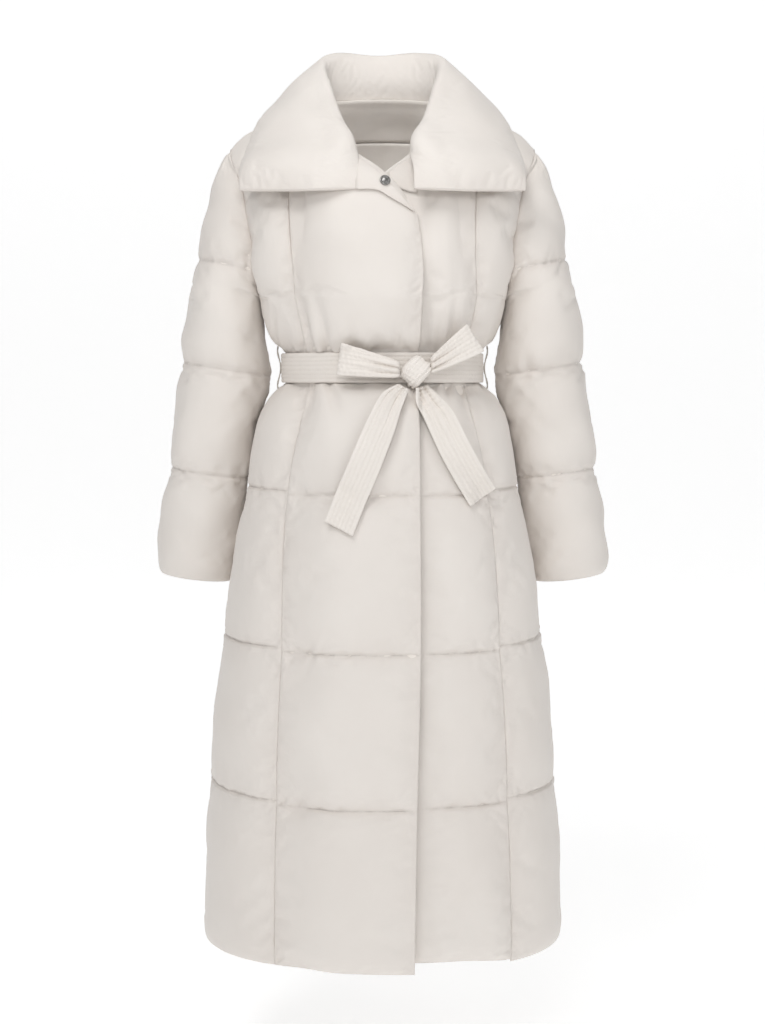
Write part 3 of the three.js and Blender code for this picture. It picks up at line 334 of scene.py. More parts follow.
# ---- cloth
@dataclass
class Cloth:
    """A wall of cloth as a grid: its two faces, and how near each point is to a line of stitches."""

    outer: Array
    inner: Array
    near_seam: Array

    def to_object(self, name: str, materials: Sequence[Material]) -> Object:
        """Make one closed mesh of the two faces and the rim between them.

        Args:
            name: the object's name.
            materials: the outer face's material, then the inner face's where it has its own.

        Returns:
            The new object, at the origin, with a UV map in metres of cloth and the nearness to seams.
        """
        rows, columns = self.outer.shape[:2]
        size = rows * columns
        index = np.arange(size).reshape(rows, columns)
        front = grid_faces(rows, columns)
        back = front[:, ::-1] + size
        loop = np.concatenate([index[0, :-1], index[:-1, -1], index[-1, :0:-1], index[:0:-1, 0]])
        after = np.roll(loop, -1)
        rim = np.stack([loop, loop + size, after + size, after], axis=-1)
        verts = np.concatenate([self.outer.reshape(-1, 3), self.inner.reshape(-1, 3)])
        faces = facing_out(verts, np.concatenate([front, back, rim]))
        made = mesh_object(name, verts, faces.tolist(), *materials)
        flat = np.stack([arc_lengths(self.outer, 1), arc_lengths(self.outer, 0)], axis=-1).reshape(-1, 2)
        lay_cloth(made.data, np.tile(flat, (2, 1)), np.tile(self.near_seam.ravel(), 2))
        if len(materials) > 1:
            chosen = np.zeros(len(faces), dtype=np.int32)
            chosen[len(front):len(front) + len(back)] = 1
            made.data.polygons.foreach_set("material_index", chosen)
        return made


@dataclass(frozen=True)
class Puckers:
    """Short creases that leave a row of stitches, uneven in depth, length and spacing."""

    spacing: float = 11.0
    depth: float = 1.1
    length: float = 17.0
    width: float = 3.4

    def height(self, along: Array, away: Array, rng: Rng) -> Array:
        """Work out the relief on one side of a row of stitches.

        Args:
            along: each point's place along the stitches.
            away: its distance from them, negative on the other side.
            rng: the source of the unevenness.

        Returns:
            The relief, up and down, in the same shape.
        """
        relief = np.zeros_like(along)
        near = (away > -0.5) & (away < 3.2 * self.length)
        place, end = along.min() - self.spacing, along.max() + self.spacing
        while place < end:
            place += self.spacing * rng.uniform(0.45, 1.7)
            depth = self.depth * rng.uniform(0.25, 1.0) ** 1.6 * rng.choice([-1.0, 0.75])
            length = self.length * rng.uniform(0.35, 1.5)
            width = self.width * rng.uniform(0.7, 1.7)
            slant = rng.uniform(-0.55, 0.55)
            inside = near & (np.abs(along - place) < 4 * width + 2 * self.length)
            reach = np.maximum(away[inside], 0)
            spread = width * (1 + reach / (2.5 * length))
            line = bell((along[inside] - place - slant * reach) / spread)
            relief[inside] += depth * line * bell(reach / length)
        return relief


@dataclass(frozen=True)
class Fold:
    """One soft fold or crease of the front: where it runs, in x and z, and its form."""

    start: tuple[float, float]
    end: tuple[float, float]
    width: float
    depth: float

    def height(self, x: Array, z: Array) -> Array:
        """Give the fold's relief at each point, negative for a crease."""
        way = np.array(self.end) - np.array(self.start)
        length = np.linalg.norm(way)
        way = way / length
        along = ((x - self.start[0]) * way[0] + (z - self.start[1]) * way[1]) / length
        off = (x - self.start[0]) * way[1] - (z - self.start[1]) * way[0]
        taper = np.where(along < 0, bell(along / 0.12), bell(along / 0.72))
        return self.depth * taper * bell(off / (self.width * (1 + 0.8 * np.clip(along, 0, 1.5))))


@dataclass(frozen=True)
class Filling:
    """How the padding fills a piece whose seams are held."""

    pressure: float = 4.0
    slack: float = 0.012
    cap: float = 15.0


class Inflation:
    """Blows up several pieces of cloth at once with a cloth simulation."""

    FRAMES = 20
    QUALITY = 6

    def __init__(self) -> None:
        """Start with no pieces."""
        self.jobs: dict[str, tuple[Object, Array, Array]] = {}

    def add(self, panel: Panel, share: float, filling: Filling) -> None:
        """Add a piece.

        Args:
            panel: the piece as laid out.
            share: how much of its padding is in before it is blown up.
            filling: how it is filled.
        """
        name, start, held = panel.name, panel.start(share), panel.held.round(2)
        faces = grid_faces(*start.shape[:2])
        if (grid_normals(start) * panel.normals).sum() < 0:
            faces = faces[:, ::-1]
        sheet = mesh_object(f"filling_{name}", start.reshape(-1, 3), faces.tolist())
        pins = sheet.vertex_groups.new(name="held")
        for weight in np.unique(held[held > 0]):
            pins.add(np.flatnonzero(held.ravel() == weight).tolist(), float(weight), "REPLACE")
        settings = sheet.modifiers.new("Cloth", "CLOTH").settings
        settings.quality = self.QUALITY
        settings.vertex_group_mass = "held"
        settings.pin_stiffness = 1.0
        settings.use_pressure = True
        settings.uniform_pressure_force = filling.pressure
        settings.shrink_min = -filling.slack
        settings.effector_weights.gravity = 0.0
        settings.mass = 0.15
        settings.tension_stiffness = 15
        settings.compression_stiffness = 8
        settings.shear_stiffness = 4
        settings.bending_stiffness = 0.15
        settings.air_damping = 3
        self.jobs[name] = (sheet, start, filling.cap * mix(0.2, 1.0, panel.puff / panel.puff.max()))

    def run(self) -> dict[str, Array]:
        """Run the simulation and apply it.

        Returns:
            Each piece's settled grid, with no point further than its cap from where it started, and less
            where it is less full.
        """
        scene = bpy.context.scene
        for frame in range(1, self.FRAMES + 1):
            scene.frame_set(frame)
        settled = {}
        for name, (sheet, start, cap) in self.jobs.items():
            bpy.ops.object.select_all(action="DESELECT")
            bpy.context.view_layer.objects.active = sheet
            bpy.ops.object.modifier_apply(modifier="Cloth")
            flat = np.empty(start.size)
            sheet.data.vertices.foreach_get("co", flat)
            moved = flat.reshape(start.shape) / MM - start
            far = np.linalg.norm(moved, axis=-1, keepdims=True)
            limit = cap[..., None] * np.tanh(far / cap[..., None])
            settled[name] = start + moved * limit / np.maximum(far, 1e-9)
            LOG.info("%s: moved up to %.1f mm, %.1f on average", name, float(far.max()), float(limit.mean()))
            bpy.data.objects.remove(sheet)
        scene.frame_set(1)
        return settled


# ---- the cut of the body
BODY = Table("z half_width front back side_y squareness lap_x lap", [
    (HEM, 241, 186, 196, -12, 2.35, 40, 12),
    (-907, 231, 181, 190, -12, 2.35, 43, 12),
    (-711, 212, 171, 178, -12, 2.35, 47, 12),
    (-512, 180, 148, 152, -10, 2.3, 46, 12),
    (-430, 166, 134, 132, -7, 2.25, 45, 12),
    (-392, 150, 120, 112, -4, 2.2, 44, 10),
    (BELT_BOTTOM, 130, 106, 94, -2, 2.2, 44, 6),
    (BELT_TOP, 130, 105, 92, -1, 2.2, 44, 6),
    (-308, 146, 116, 100, 1, 2.2, 46, 10),
    (-285, 155, 123, 106, 3, 2.25, 47, 12),
    (ARMPIT, 160, 132, 112, 6, 2.3, 48, 14),
])
PRINCESS = Table("z right left back", [
    (HEM, 138, 166, 118),
    (-907, 135, 160, 114),
    (-711, 128, 150, 108),
    (-512, 121, 135, 98),
    (BELT_BOTTOM, 94, 106, 80),
    (BELT_TOP, 98, 107, 80),
    (ARMPIT, 111, 120, 96),
])
# The sleeve's cap by its level up the armhole: its outermost point, its half width and depth, the angle
# from which it is open towards the body, and the height of the armhole's seam.
CAP = Table("level edge_z outer_x outer_z half_width half_depth centre_y open", [
    (0, ARMPIT, 253, -243, 45, 59, 9, 180),
    (1, -244, 250, -229, 46.5, 59, 8, 146),
    (2, -221, 246, -205, 51, 60, 8, 118),
    (3, -188, 238, -175, 55.5, 60, 8, 102),
    (4, -148, 229, -138, 58.5, 55, 8, 82),
    (5, -107, 218, -101, 79, 47, 8, 52),
    (6, -77, 211, -76, 100, 38, 8, 27),
    (7, -60, 204, -58, 110, 30, 8, 10),
    (8, -59, 203.5, -57, 110, 30, 8, 1),
])
TOP_LEVEL, CAP_TOP = 8, 7
SLEEVE = Table("z outer_x inner_x drop half_depth centre_y", [
    (-243, 253, 163, 14, 59, 9),
    (-290, 260, 161, 16, 59, 14),
    (-343, 270, 155, 17, 59, 22),
    (-415, 278, 175, 15, 56, 28),
    (-486, 289, 187, 14, 54, 33),
    (-555, 299, 200, 13, 51, 37),
    (-632, 307, 212, 12, 49, 40),
])
SLEEVE_QUILT_LINES = (-486.0, -343.0, -205.0)
NECK_SIDE = (86.0, 8.0, 0.0)
SHOULDER = Curve([NECK_SIDE, (124, 9, -14), (161, 9, -29), (184, 9, -40), (203.5, 8, -59)])
SHOULDER_SPLIT, SHOULDER_SLOPE = 0.3, 0.48
FRONT_NECK = Curve([(-47, -118, -157), (0, -107, -104), (33, -90, -77), (60, -58, -44), (79, -23, -14), NECK_SIDE])
BACK_NECK = Curve([NECK_SIDE, (62, 48, 7), (30, 62, 11), (0, 66, 12), (-30, 62, 11), (-62, 48, 7), (-86, 8, 0)])
FRONT_PRINCESS_TOP = [(118, -106, -170), (120, -84, -110), (121, -45, -52)]
BACK_PRINCESS_TOP = [(106, 100, -170), (115, 84, -100), (120, 48, -40)]


def section(z: Array, turn: Array, face: Face) -> Array:
    """Give points of the body's horizontal sections along its seams.

    Args:
        z: their heights.
        turn: 0 at the middle of the front or back and 1 at the side.
        face: the front or the back.

    Returns:
        The points.
    """
    angle = turn * math.pi / 2
    power = 2 / BODY("squareness", z)
    depth = -BODY("front", z) if face is Face.FRONT else BODY("back", z)
    x = np.sign(angle) * BODY("half_width", z) * np.abs(np.sin(angle)) ** power
    y = BODY("side_y", z) + depth * np.maximum(np.cos(angle), 0.0) ** power
    dip = 5.0 * smooth((QUILT_LINES[0] - z) / (QUILT_LINES[0] - HEM)) * np.sin(angle) ** 2
    return np.stack([x, y, z - dip], axis=-1)


def turn_at(z: Array, x: Array) -> Array:
    """Give the turn at which a section reaches x."""
    share = np.minimum(1.0, (np.abs(x) / BODY("half_width", z)) ** (BODY("squareness", z) / 2))
    return 2 / math.pi * np.sign(x) * np.arcsin(share)


def cap_point(level: Array, angle: Array) -> Array:
    """Give points of the sleeve's cap.

    Args:
        level: how far up the armhole they are, by the cap's rows.
        angle: the angle from the cap's outermost point, negative towards the front.

    Returns:
        The points, on the left sleeve.
    """
    inwards = 1 - np.cos(angle)
    outer_z, edge_z = CAP("outer_z", level), CAP("edge_z", level)
    opened = 1 - np.cos(np.radians(CAP("open", level)))
    return np.stack([
        CAP("outer_x", level) - CAP("half_width", level) * inwards,
        CAP("centre_y", level) + CAP("half_depth", level) * np.sin(angle),
        outer_z - (outer_z - edge_z) * inwards / opened,
    ], axis=-1)


def armhole(level: Array, face: Face) -> Array:
    """Give points of the armhole's seam at some levels."""
    return cap_point(level, face.value * np.radians(CAP("open", level)))


def lap_rise(points: Array) -> Array:
    """Say how far the right front stands out over the left one at each point."""
    x, z = points[..., 0], points[..., 2]
    ramp = smooth((x + LAP_STARTS) / LAP_RAMP)
    return BODY("lap", np.minimum(z, ARMPIT)) * ramp * (1 - LAP_FADE * smooth((z - LAP_FADES_FROM) / 85))


def coons(bottom: Array, top: Array, first: Array, last: Array, up: Array, across: Array) -> Array:
    """Give a surface between four lines of points that share their corners.

    Args:
        bottom: the points along the bottom.
        top: the points along the top.
        first: the points up the first side.
        last: the points up the last side.
        up: each row's share of the way up.
        across: each column's share of the way across.

    Returns:
        The grid of points.
    """
    v, u = up[:, None, None], across[None, :, None]
    edges = bottom[None] * (1 - v) + top[None] * v + first[:, None] * (1 - u) + last[:, None] * u
    corners = (bottom[0] * (1 - u) * (1 - v) + bottom[-1] * u * (1 - v) + top[0] * (1 - u) * v + top[-1] * u * v)
    return edges - corners


def back_seam(z: Array) -> Array:
    """Give the turn of the seams between the back's panels."""
    return turn_at(z, PRINCESS("back", z))


@dataclass
class PanelCut:
    """How one panel of the body is cut, on the half where x is positive."""

    face: Face
    turns: Callable[[Array], tuple[Array, Array]]
    top: Callable[[Array], Array]
    first: Callable[[Array, Array], Array]
    last: Callable[[Array, Array], Array]
    columns: int
    line_rise: float = 0.0


@dataclass
class Panel:
    """One padded panel: its surface along the seams and how its padding fills it."""

    name: str
    points: Array
    normals: Array
    heights: Array
    held: Array
    puff: Array
    lining: Array
    lines: list[int] = field(default_factory=list)

    def start(self, share: float) -> Array:
        """Give the outer face with some of its padding in."""
        return self.points + self.normals * (HALF_WALL + share * self.puff)[..., None]

    def refine(self, settled: Array) -> tuple[Array, Array, Array, Array]:
        """Refine the panel once it has settled.

        Args:
            settled: its outer face once filled.

        Returns:
            Its outer face, its surface along the seams, the way out of that one and of the outer face.
        """
        fine, normals = refined(settled), unit(refined(self.normals))
        return fine, refined(self.points), normals, turned_to(grid_normals(fine), normals)

    def turn_edge(self, column: int, shared: Array, rows: Array) -> None:
        """Turn the way out along one edge to the one that the neighbour across the seam shares.

        Args:
            column: the edge's column.
            shared: the shared way out on each row.
            rows: which rows these are.
        """
        across = arc_lengths(self.points[rows], 1)
        near = bell((across - across[:, [column]]) / SEAM_BLEND)[..., None]
        self.normals[rows] = unit(mix(self.normals[rows], shared[:, None], near))


@dataclass
class Body:
    """The quilted body: two fronts of two panels, and a back of three."""

    puff: float = 12.0             # how far the padding stands out in the middle of a cell
    reach_low: float = 70.0        # from a line of quilting up to the fullest height
    reach_high: float = 105.0      # and from the next line down to it
    reach_seam: float = 48.0
    seam_rise: float = 0.3
    side_share: float = 0.35       # of the fullness that is left at the side seams
    lining_share: float = 0.4
    pitch: float = 7.5             # of the rows before they are refined
    back_pitch: float = 9.0
    panels: dict[str, Panel] = field(default_factory=dict)

    def rows(self, rise: float, pitch: float) -> tuple[Array, Array]:
        """Set the heights of a panel's rows below the armpit.

        Args:
            rise: how much higher than usual its lines of quilting are.
            pitch: about how far apart the rows are.

        Returns:
            The heights, and which rows are lines of quilting.
        """
        bounds = [HEM, *(line + rise for line in QUILT_LINES), BELT_BOTTOM, BELT_TOP, ARMPIT]
        heights: list[float] = []
        lines = []
        for k, (low, high) in enumerate(zip(bounds[:-1], bounds[1:])):
            count = max(4, round((high - low) / pitch))
            lines.append(len(heights))
            heights += list(mix(low, high, graded(count, 0.5 if k < 4 else 0.0))[:-1])
        return np.array([*heights, ARMPIT]), np.array(lines[1:4])

    def levels(self, pitch: float) -> Array:
        """Give the levels of the rows above the armpit, evenly spaced along the armhole."""
        fine = np.linspace(0, TOP_LEVEL, 600)
        lengths = arc_lengths(armhole(fine, Face.FRONT)[:, None], 0)[:, 0]
        count = round(lengths[-1] / pitch)
        return np.interp(np.linspace(0, lengths[-1], count + 1)[1:], lengths, fine)

    def cuts(self, which: Side) -> dict[str, PanelCut]:
        """Say how a half's panels are cut.

        Args:
            which: the half.

        Returns:
            The cuts of its front centre, front side and back side panels, by name.
        """
        seam_top = SHOULDER.at(SHOULDER_SPLIT)
        own = which.name.lower()

        def front_seam(z: Array) -> Array:
            """Give the turn of the seam between the two front panels."""
            return turn_at(z, PRINCESS(own, z))

        def lap_turn(z: Array) -> Array:
            """Give the turn of the front edge."""
            return turn_at(z, -BODY("lap_x", z))

        foot = np.array(ARMPIT)
        front_line = Curve([section(foot, front_seam(foot), Face.FRONT), *FRONT_PRINCESS_TOP, seam_top])
        back_line = Curve([section(foot, back_seam(foot), Face.BACK), *BACK_PRINCESS_TOP, seam_top])
        lap_line = Curve([section(foot, lap_turn(foot), Face.FRONT), FRONT_NECK.points[1]])
        neck_share = 6 / 7

        def neck_and_shoulder(u: Array) -> Array:
            """Give the front centre's top edge, along the neck and the start of the shoulder."""
            on_neck = FRONT_NECK.along(np.minimum(u / neck_share, 1.0))
            on_shoulder = SHOULDER.at(SHOULDER_SPLIT * np.maximum(u - neck_share, 0) / (1 - neck_share))
            return np.where((u <= neck_share)[:, None], on_neck, on_shoulder)

        def outer_shoulder(u: Array) -> Array:
            """Give a side panel's top edge, along the rest of the shoulder."""
            return SHOULDER.at(mix(SHOULDER_SPLIT, 1.0, u))

        return {
            "front_centre": PanelCut(Face.FRONT, lambda z: (lap_turn(z), front_seam(z)), neck_and_shoulder,
                                     lambda v, s: lap_line.at(v), lambda v, s: front_line.at(v), 27),
            "front_side": PanelCut(Face.FRONT, lambda z: (front_seam(z), np.ones_like(z)), outer_shoulder,
                                   lambda v, s: front_line.at(v), lambda v, s: armhole(s, Face.FRONT), 22, 5.0),
            "back_side": PanelCut(Face.BACK, lambda z: (back_seam(z), np.ones_like(z)), outer_shoulder,
                                  lambda v, s: back_line.at(v), lambda v, s: armhole(s, Face.BACK), 18, 5.0),
        }

    def back_cut(self) -> PanelCut:
        """Say how the middle of the back is cut, from the left seam to the right one."""
        foot = np.array(ARMPIT)
        line = Curve([section(foot, back_seam(foot), Face.BACK), *BACK_PRINCESS_TOP, SHOULDER.at(SHOULDER_SPLIT)])
        share = 1 / 8

        def top(u: Array) -> Array:
            """Give the top edge, along both shoulders and the neck between them."""
            near = SHOULDER.at(SHOULDER_SPLIT * np.clip(1 - u / share, 0, 1))
            far = SHOULDER.at(SHOULDER_SPLIT * np.clip(1 - (1 - u) / share, 0, 1)) * [-1, 1, 1]
            neck = BACK_NECK.along(np.clip((u - share) / (1 - 2 * share), 0, 1))
            return np.where((u < share)[:, None], near, np.where((u > 1 - share)[:, None], far, neck))

        return PanelCut(Face.BACK, lambda z: (back_seam(z), -back_seam(z)), top, lambda v, s: line.at(v),
                        lambda v, s: line.at(v) * [-1, 1, 1], 26)

    def surface(self, cut: PanelCut, pitch: float) -> tuple[Array, Array, Array]:
        """Work out a panel's surface along its seams.

        Args:
            cut: how it is cut.
            pitch: about how far apart its rows are.

        Returns:
            The grid of points, the height of each row and which rows are lines of quilting.
        """
        heights, lines = self.rows(cut.line_rise, pitch)
        levels = self.levels(pitch)
        across = graded(cut.columns)
        low, high = cut.turns(heights)
        z = np.repeat(heights[:, None], len(across), axis=1)
        lower = section(z, low[:, None] + (high - low)[:, None] * across, cut.face)
        up = (CAP("edge_z", levels) - ARMPIT) / (CAP("edge_z", TOP_LEVEL) - ARMPIT)
        foot = np.array(0.0)
        first = np.concatenate([cut.first(foot, foot)[None], cut.first(up, levels)])
        last = np.concatenate([cut.last(foot, foot)[None], cut.last(up, levels)])
        first[0], last[0] = lower[-1, 0], lower[-1, -1]
        yoke = coons(lower[-1], cut.top(across), first, last, np.concatenate([[0.0], up]), across)[1:]
        shown = np.concatenate([heights, mix(ARMPIT, CAP("edge_z", TOP_LEVEL), up)])
        return np.concatenate([lower, yoke]), shown, lines

    def normals(self, points: Array, face: Face) -> Array:
        """Give the way out at each point, which turns up towards the shoulder's seam."""
        normals = turned_to(grid_normals(points), points * [1, 1, 0])
        shoulder = unit(np.stack([np.sign(points[-1, :, 0]) * SHOULDER_SLOPE, np.zeros(points.shape[1]),
                                  np.ones(points.shape[1])], axis=-1))
        on_shoulder = (np.abs(points[-1, :, 0]) >= NECK_SIDE[0] - 1).astype(float)
        share = (bell(from_last(points) / 12) * on_shoulder)[..., None]
        return unit(mix(normals, shoulder[None], share))

    def fullness(self, points: Array, heights: Array, lines: Array, armhole_side: bool) -> Array:
        """Say how full the padding is at each point.

        Args:
            points: the panel's surface.
            heights: each row's height.
            lines: which rows are lines of quilting.
            armhole_side: whether its last column runs up the armhole.

        Returns:
            0 where it is sewn flat and 1 where it is fullest.
        """
        bounds = [HEM, *heights[lines], BELT_BOTTOM]
        cell = np.ones_like(heights)
        for low, high in zip(bounds[:-1], bounds[1:]):
            inside = (heights >= low) & (heights <= high)
            reach_low = 34.0 if low == HEM else self.reach_low
            z = heights[inside]
            cell[inside] = swell(z - low, reach_low) * swell(high - z, min(self.reach_high, 0.6 * (high - low)))
        cell[(heights >= BELT_BOTTOM) & (heights <= BELT_TOP)] = 0
        over_belt = heights > BELT_TOP
        cell[over_belt] = swell(heights[over_belt] - BELT_TOP, 55.0, 2.0)
        across = arc_lengths(points, 1)
        rise_last = self.seam_rise * (1 - smooth((heights - ARMPIT + 40) / 40))[:, None] if armhole_side \
            else self.seam_rise
        first = mix(self.seam_rise, 1.0, swell(across, self.reach_seam))
        last = mix(rise_last, 1.0, swell(across[:, -1:] - across, self.reach_seam))
        full = cell[:, None] * first * last * swell(from_last(points), 40.0, 2.0)
        return full * mix(1.0, self.side_share, smooth(across / across[:, -1:])) if armhole_side else full

    def held(self, shape: tuple[int, ...], heights: Array, lines: Array) -> Array:
        """Say how firmly each point is held: fully along the seams, the quilting and the belt.

        Args:
            shape: the grid's rows and columns.
            heights: each row's height.
            lines: which rows are lines of quilting.

        Returns:
            1 where it is held and 0 elsewhere.
        """
        held = np.zeros(shape)
        held[:, [0, -1]] = 1
        held[[0, -1]] = 1
        held[lines] = 1
        held[(heights >= BELT_BOTTOM - 0.1) & (heights <= BELT_TOP + 0.1)] = 1
        return held

    def panel(self, name: str, cut: PanelCut, side: Side) -> Panel:
        """Lay out one panel, before it is filled.

        Args:
            name: its name.
            cut: how it is cut.
            side: the half it lies in.

        Returns:
            The panel.
        """
        pitch = self.pitch if cut.face is Face.FRONT else self.back_pitch
        points, heights, lines = self.surface(cut, pitch)
        points = mirrored(points, side)
        normals = self.normals(points, cut.face)
        full = self.fullness(points, heights, lines, armhole_side=name.endswith("side"))
        held = self.held(full.shape, heights, lines)
        lining = np.full_like(full, self.lining_share)
        if name == "front_right_centre":
            points = points + normals * lap_rise(points)[..., None]
            free = smooth((QUILT_LINES[0] - heights) / 200)[:, None] * smooth((points[..., 0] + 90) / 120)
            points[..., 2] -= 2.0 * free
            lining = lining * mix(1, 0.3, smooth((points[..., 0] + LAP_STARTS) / LAP_RAMP))
            edge = arc_lengths(points, 1)
            full = full / np.maximum(mix(self.seam_rise, 1.0, swell(edge, self.reach_seam)), 0.05) \
                * mix(0.12, 1.0, swell(edge, 42.0, 2.0))
        if name == "front_left_centre":
            x = points[..., 0]
            points[..., 2] += 9.0 * smooth((QUILT_LINES[0] - heights) / 200)[:, None] * (1 - smooth((x - 90) / 110))
            pressed = mix(0.05, 1, smooth((x - LAP_HIDES) / 30))
            full = full * pressed
            held = np.maximum(held, (x < LAP_HIDES + 4).astype(float))
        return Panel(name, points, normals, heights, held, self.puff * full,
                     self.puff * full * lining, [int(i) for i in lines])

    def lay_out(self) -> None:
        """Lay out every panel."""
        for side in Side:
            for part, cut in self.cuts(side).items():
                name = f"{part.split('_')[0]}_{side.name.lower()}_{part.split('_')[1]}"
                self.panels[name] = self.panel(name, cut, side)
        self.panels["back_centre"] = self.panel("back_centre", self.back_cut(), Side.LEFT)
        for side in Side:
            own = side.name.lower()
            middle = 0 if side is Side.LEFT else -1
            for name, column, beside, its_column in ((f"front_{own}_centre", -1, f"front_{own}_side", 0),
                                                     (f"back_{own}_side", 0, "back_centre", middle)):
                panel, other = self.panels[name], self.panels[beside]
                rows, its_rows = self.yoke(panel), self.yoke(other)
                shared = unit(panel.normals[rows, column] + other.normals[its_rows, its_column])
                panel.turn_edge(column, shared, rows)
                other.turn_edge(its_column, shared, its_rows)

    def yoke(self, panel: Panel) -> Array:
        """Give a panel's rows above the armpit."""
        count = len(self.levels(self.pitch if panel.name.startswith("front") else self.back_pitch))
        return np.arange(len(panel.points) - count, len(panel.points))

    def join(self, sleeve: Panel, levels: Array) -> None:
        """Let the left sleeve and both sides of the body share the way out along the armhole.

        Args:
            sleeve: the left sleeve.
            levels: how far up the armhole each of its rows is, below 0 under it.
        """
        rows = np.flatnonzero(levels > 0)
        for face, column in ((Face.FRONT, 0), (Face.BACK, -1)):
            part = face.name.lower()
            own = self.panels[f"{part}_left_side"]
            its_levels = self.levels(self.pitch if face is Face.FRONT else self.back_pitch)
            its_rows = self.yoke(own)
            body_way, sleeve_way = own.normals[its_rows, -1].copy(), sleeve.normals[rows, column].copy()
            sleeve.turn_edge(column, unit(sleeve_way + read_along(body_way, its_levels, levels[rows])), rows)
            shared = unit(body_way + read_along(sleeve_way, levels[rows], its_levels))
            for side in Side:
                self.panels[f"{part}_{side.name.lower()}_side"].turn_edge(-1, mirrored(shared, side), its_rows)


# ---- creases
@dataclass(frozen=True)
class Relief:
    """How the cloth is drawn in along its stitching and creased between."""

    at_seam: Puckers = Puckers(8.0, 2.2, 13.0, 2.8)
    at_line: Puckers = Puckers(10.0, 2.1, 19.0, 3.4)
    at_belt: Puckers = Puckers(12.0, 4.2, 45.0, 5.0)
    waves: float = 1.9             # the slow unevenness of the padding
    wave_length: float = 85.0
    groove: float = 1.2            # how deep a row of stitches is drawn in
    groove_width: float = 1.9
    at_free_edge: float = 0.55     # how deep its creases are, beside those at a seam
    starts_early: float = 3.0      # how far under the belt its creases start


FREE_FRONTS = ("front_right_centre", "front_left_centre")
FRONT_FOLDS = (
    Fold((-92, -325), (-112, -245), 4.5, -6.5),
    Fold((-71, -327), (-91, -243), 4.5, -6.0),
    Fold((-119, -327), (-134, -292), 4.5, -4.5),
    Fold((-81, -325), (-101, -255), 6.0, 3.5),
    Fold((-36, -327), (-42, -290), 4.0, -3.0),
    Fold((-12, -327), (-10, -296), 4.0, -3.0),
    Fold((56, -327), (60, -250), 5.0, -5.5),
    Fold((68, -327), (82, -262), 5.0, -5.0),
    Fold((89, -327), (95, -235), 4.5, -6.5),
    Fold((78, -327), (88, -262), 6.0, 3.5),
    Fold((-91, -374), (-98, -420), 4.5, -6.0),
    Fold((-67, -374), (-53, -414), 5.0, -6.0),
    Fold((-79, -374), (-75, -410), 6.0, 3.0),
    Fold((20, -376), (14, -455), 7.0, -3.5),
    Fold((84, -374), (88, -398), 4.5, -6.0),
    Fold((104, -374), (114, -414), 4.5, -6.0),
    Fold((66, -376), (74, -460), 7.0, -3.5),
)


def relief_of(panel: Panel, fine: Array, heights: Array, relief: Relief, rng: Rng) -> Array:
    """Work out the creases of one body panel.

    Args:
        panel: the panel.
        fine: its refined outer face.
        heights: the height of each refined row.
        relief: how deep and close its creases are.
        rng: the source of their unevenness.

    Returns:
        How far each point moves along its way out.
    """
    across, up = arc_lengths(fine, 1), arc_lengths(fine, 0)
    wide = across[:, -1:] - across
    total = relief.waves * unevenness(fine, relief.wave_length, rng) * np.clip(refined(panel.puff) / 9, 0, 1)
    for away, is_free in ((across, panel.name in FREE_FRONTS), (wide, False)):
        total += (relief.at_free_edge if is_free else 1.0) * relief.at_seam.height(up, away, rng)
        if not is_free:
            total -= relief.groove * bell(away / relief.groove_width)
    for line in panel.lines:
        away = up - up[2 * line]
        total += relief.at_line.height(across, away, rng) + relief.at_line.height(across, -away, rng)
        total -= relief.groove * bell(away / relief.groove_width)
    low, high = (int(np.argmin(np.abs(heights - z))) for z in (BELT_BOTTOM, BELT_TOP))
    for away in (up - up[high], up[low] - up):
        total += relief.at_belt.height(across, away + relief.starts_early, rng)
    if panel.name.startswith("front"):
        total += sum(fold.height(fine[..., 0], fine[..., 2]) for fold in FRONT_FOLDS)
    fade = np.ones(len(heights))
    fade[(heights >= BELT_BOTTOM - 1) & (heights <= BELT_TOP + 1)] = 0
    edges = smooth(np.minimum(across, wide) / 5.0) * 0.85 + 0.15
    pressed = 1.0
    if panel.name == "front_left_centre":
        pressed = smooth((fine[..., 0] - LAP_HIDES + 4) / 12)
    return total * fade[:, None] * edges * pressed * smooth(from_last(fine) / 8)


def nearness(*distances: Array) -> Array:
    """Say how near each point is to the nearest of some lines of stitches, 1 on one and 0 far off."""
    return np.exp(-np.minimum.reduce(list(distances)) / NEAR)


def pulled_in(points: Array, first: bool, last: bool, top: bool) -> Array:
    """Leave half a seam's gap along some edges of a grid.

    Args:
        points: the grid.
        first: whether its first column is sewn.
        last: whether its last column is.
        top: whether its top row is.

    Returns:
        The grid, moved in along those edges.
    """
    result = points.copy()
    for sewn, edge, beside in ((first, 0, 1), (last, -1, -2)):
        if sewn:
            result[:, edge] += SEAM_GAP * unit(points[:, beside] - points[:, edge])
    if top:
        result[-1] += SEAM_GAP * unit(points[-2] - points[-1])
    return result


def body_cloth(panel: Panel, settled: Array, relief: Relief, rng: Rng) -> Cloth:
    """Finish one body panel.

    Args:
        panel: the panel as laid out.
        settled: its outer face once filled.
        relief: how deep and close its creases are.
        rng: the source of their unevenness.

    Returns:
        The panel's wall.
    """
    fine, valley, normals, out = panel.refine(settled)
    heights = refined(np.repeat(panel.heights[:, None], 2, axis=1))[:, 0]
    fine = fine + out * relief_of(panel, fine, heights, relief, rng)[..., None]
    inner = valley - normals * (HALF_WALL + np.maximum(refined(panel.lining), 0))[..., None]
    across, up = arc_lengths(fine, 1), arc_lengths(fine, 0)
    near = nearness(across, across[:, -1:] - across, *(np.abs(up - up[2 * line]) for line in panel.lines))
    edges = (panel.name not in FREE_FRONTS, True, True)
    return Cloth(pulled_in(fine, *edges), pulled_in(inner, *edges), near)


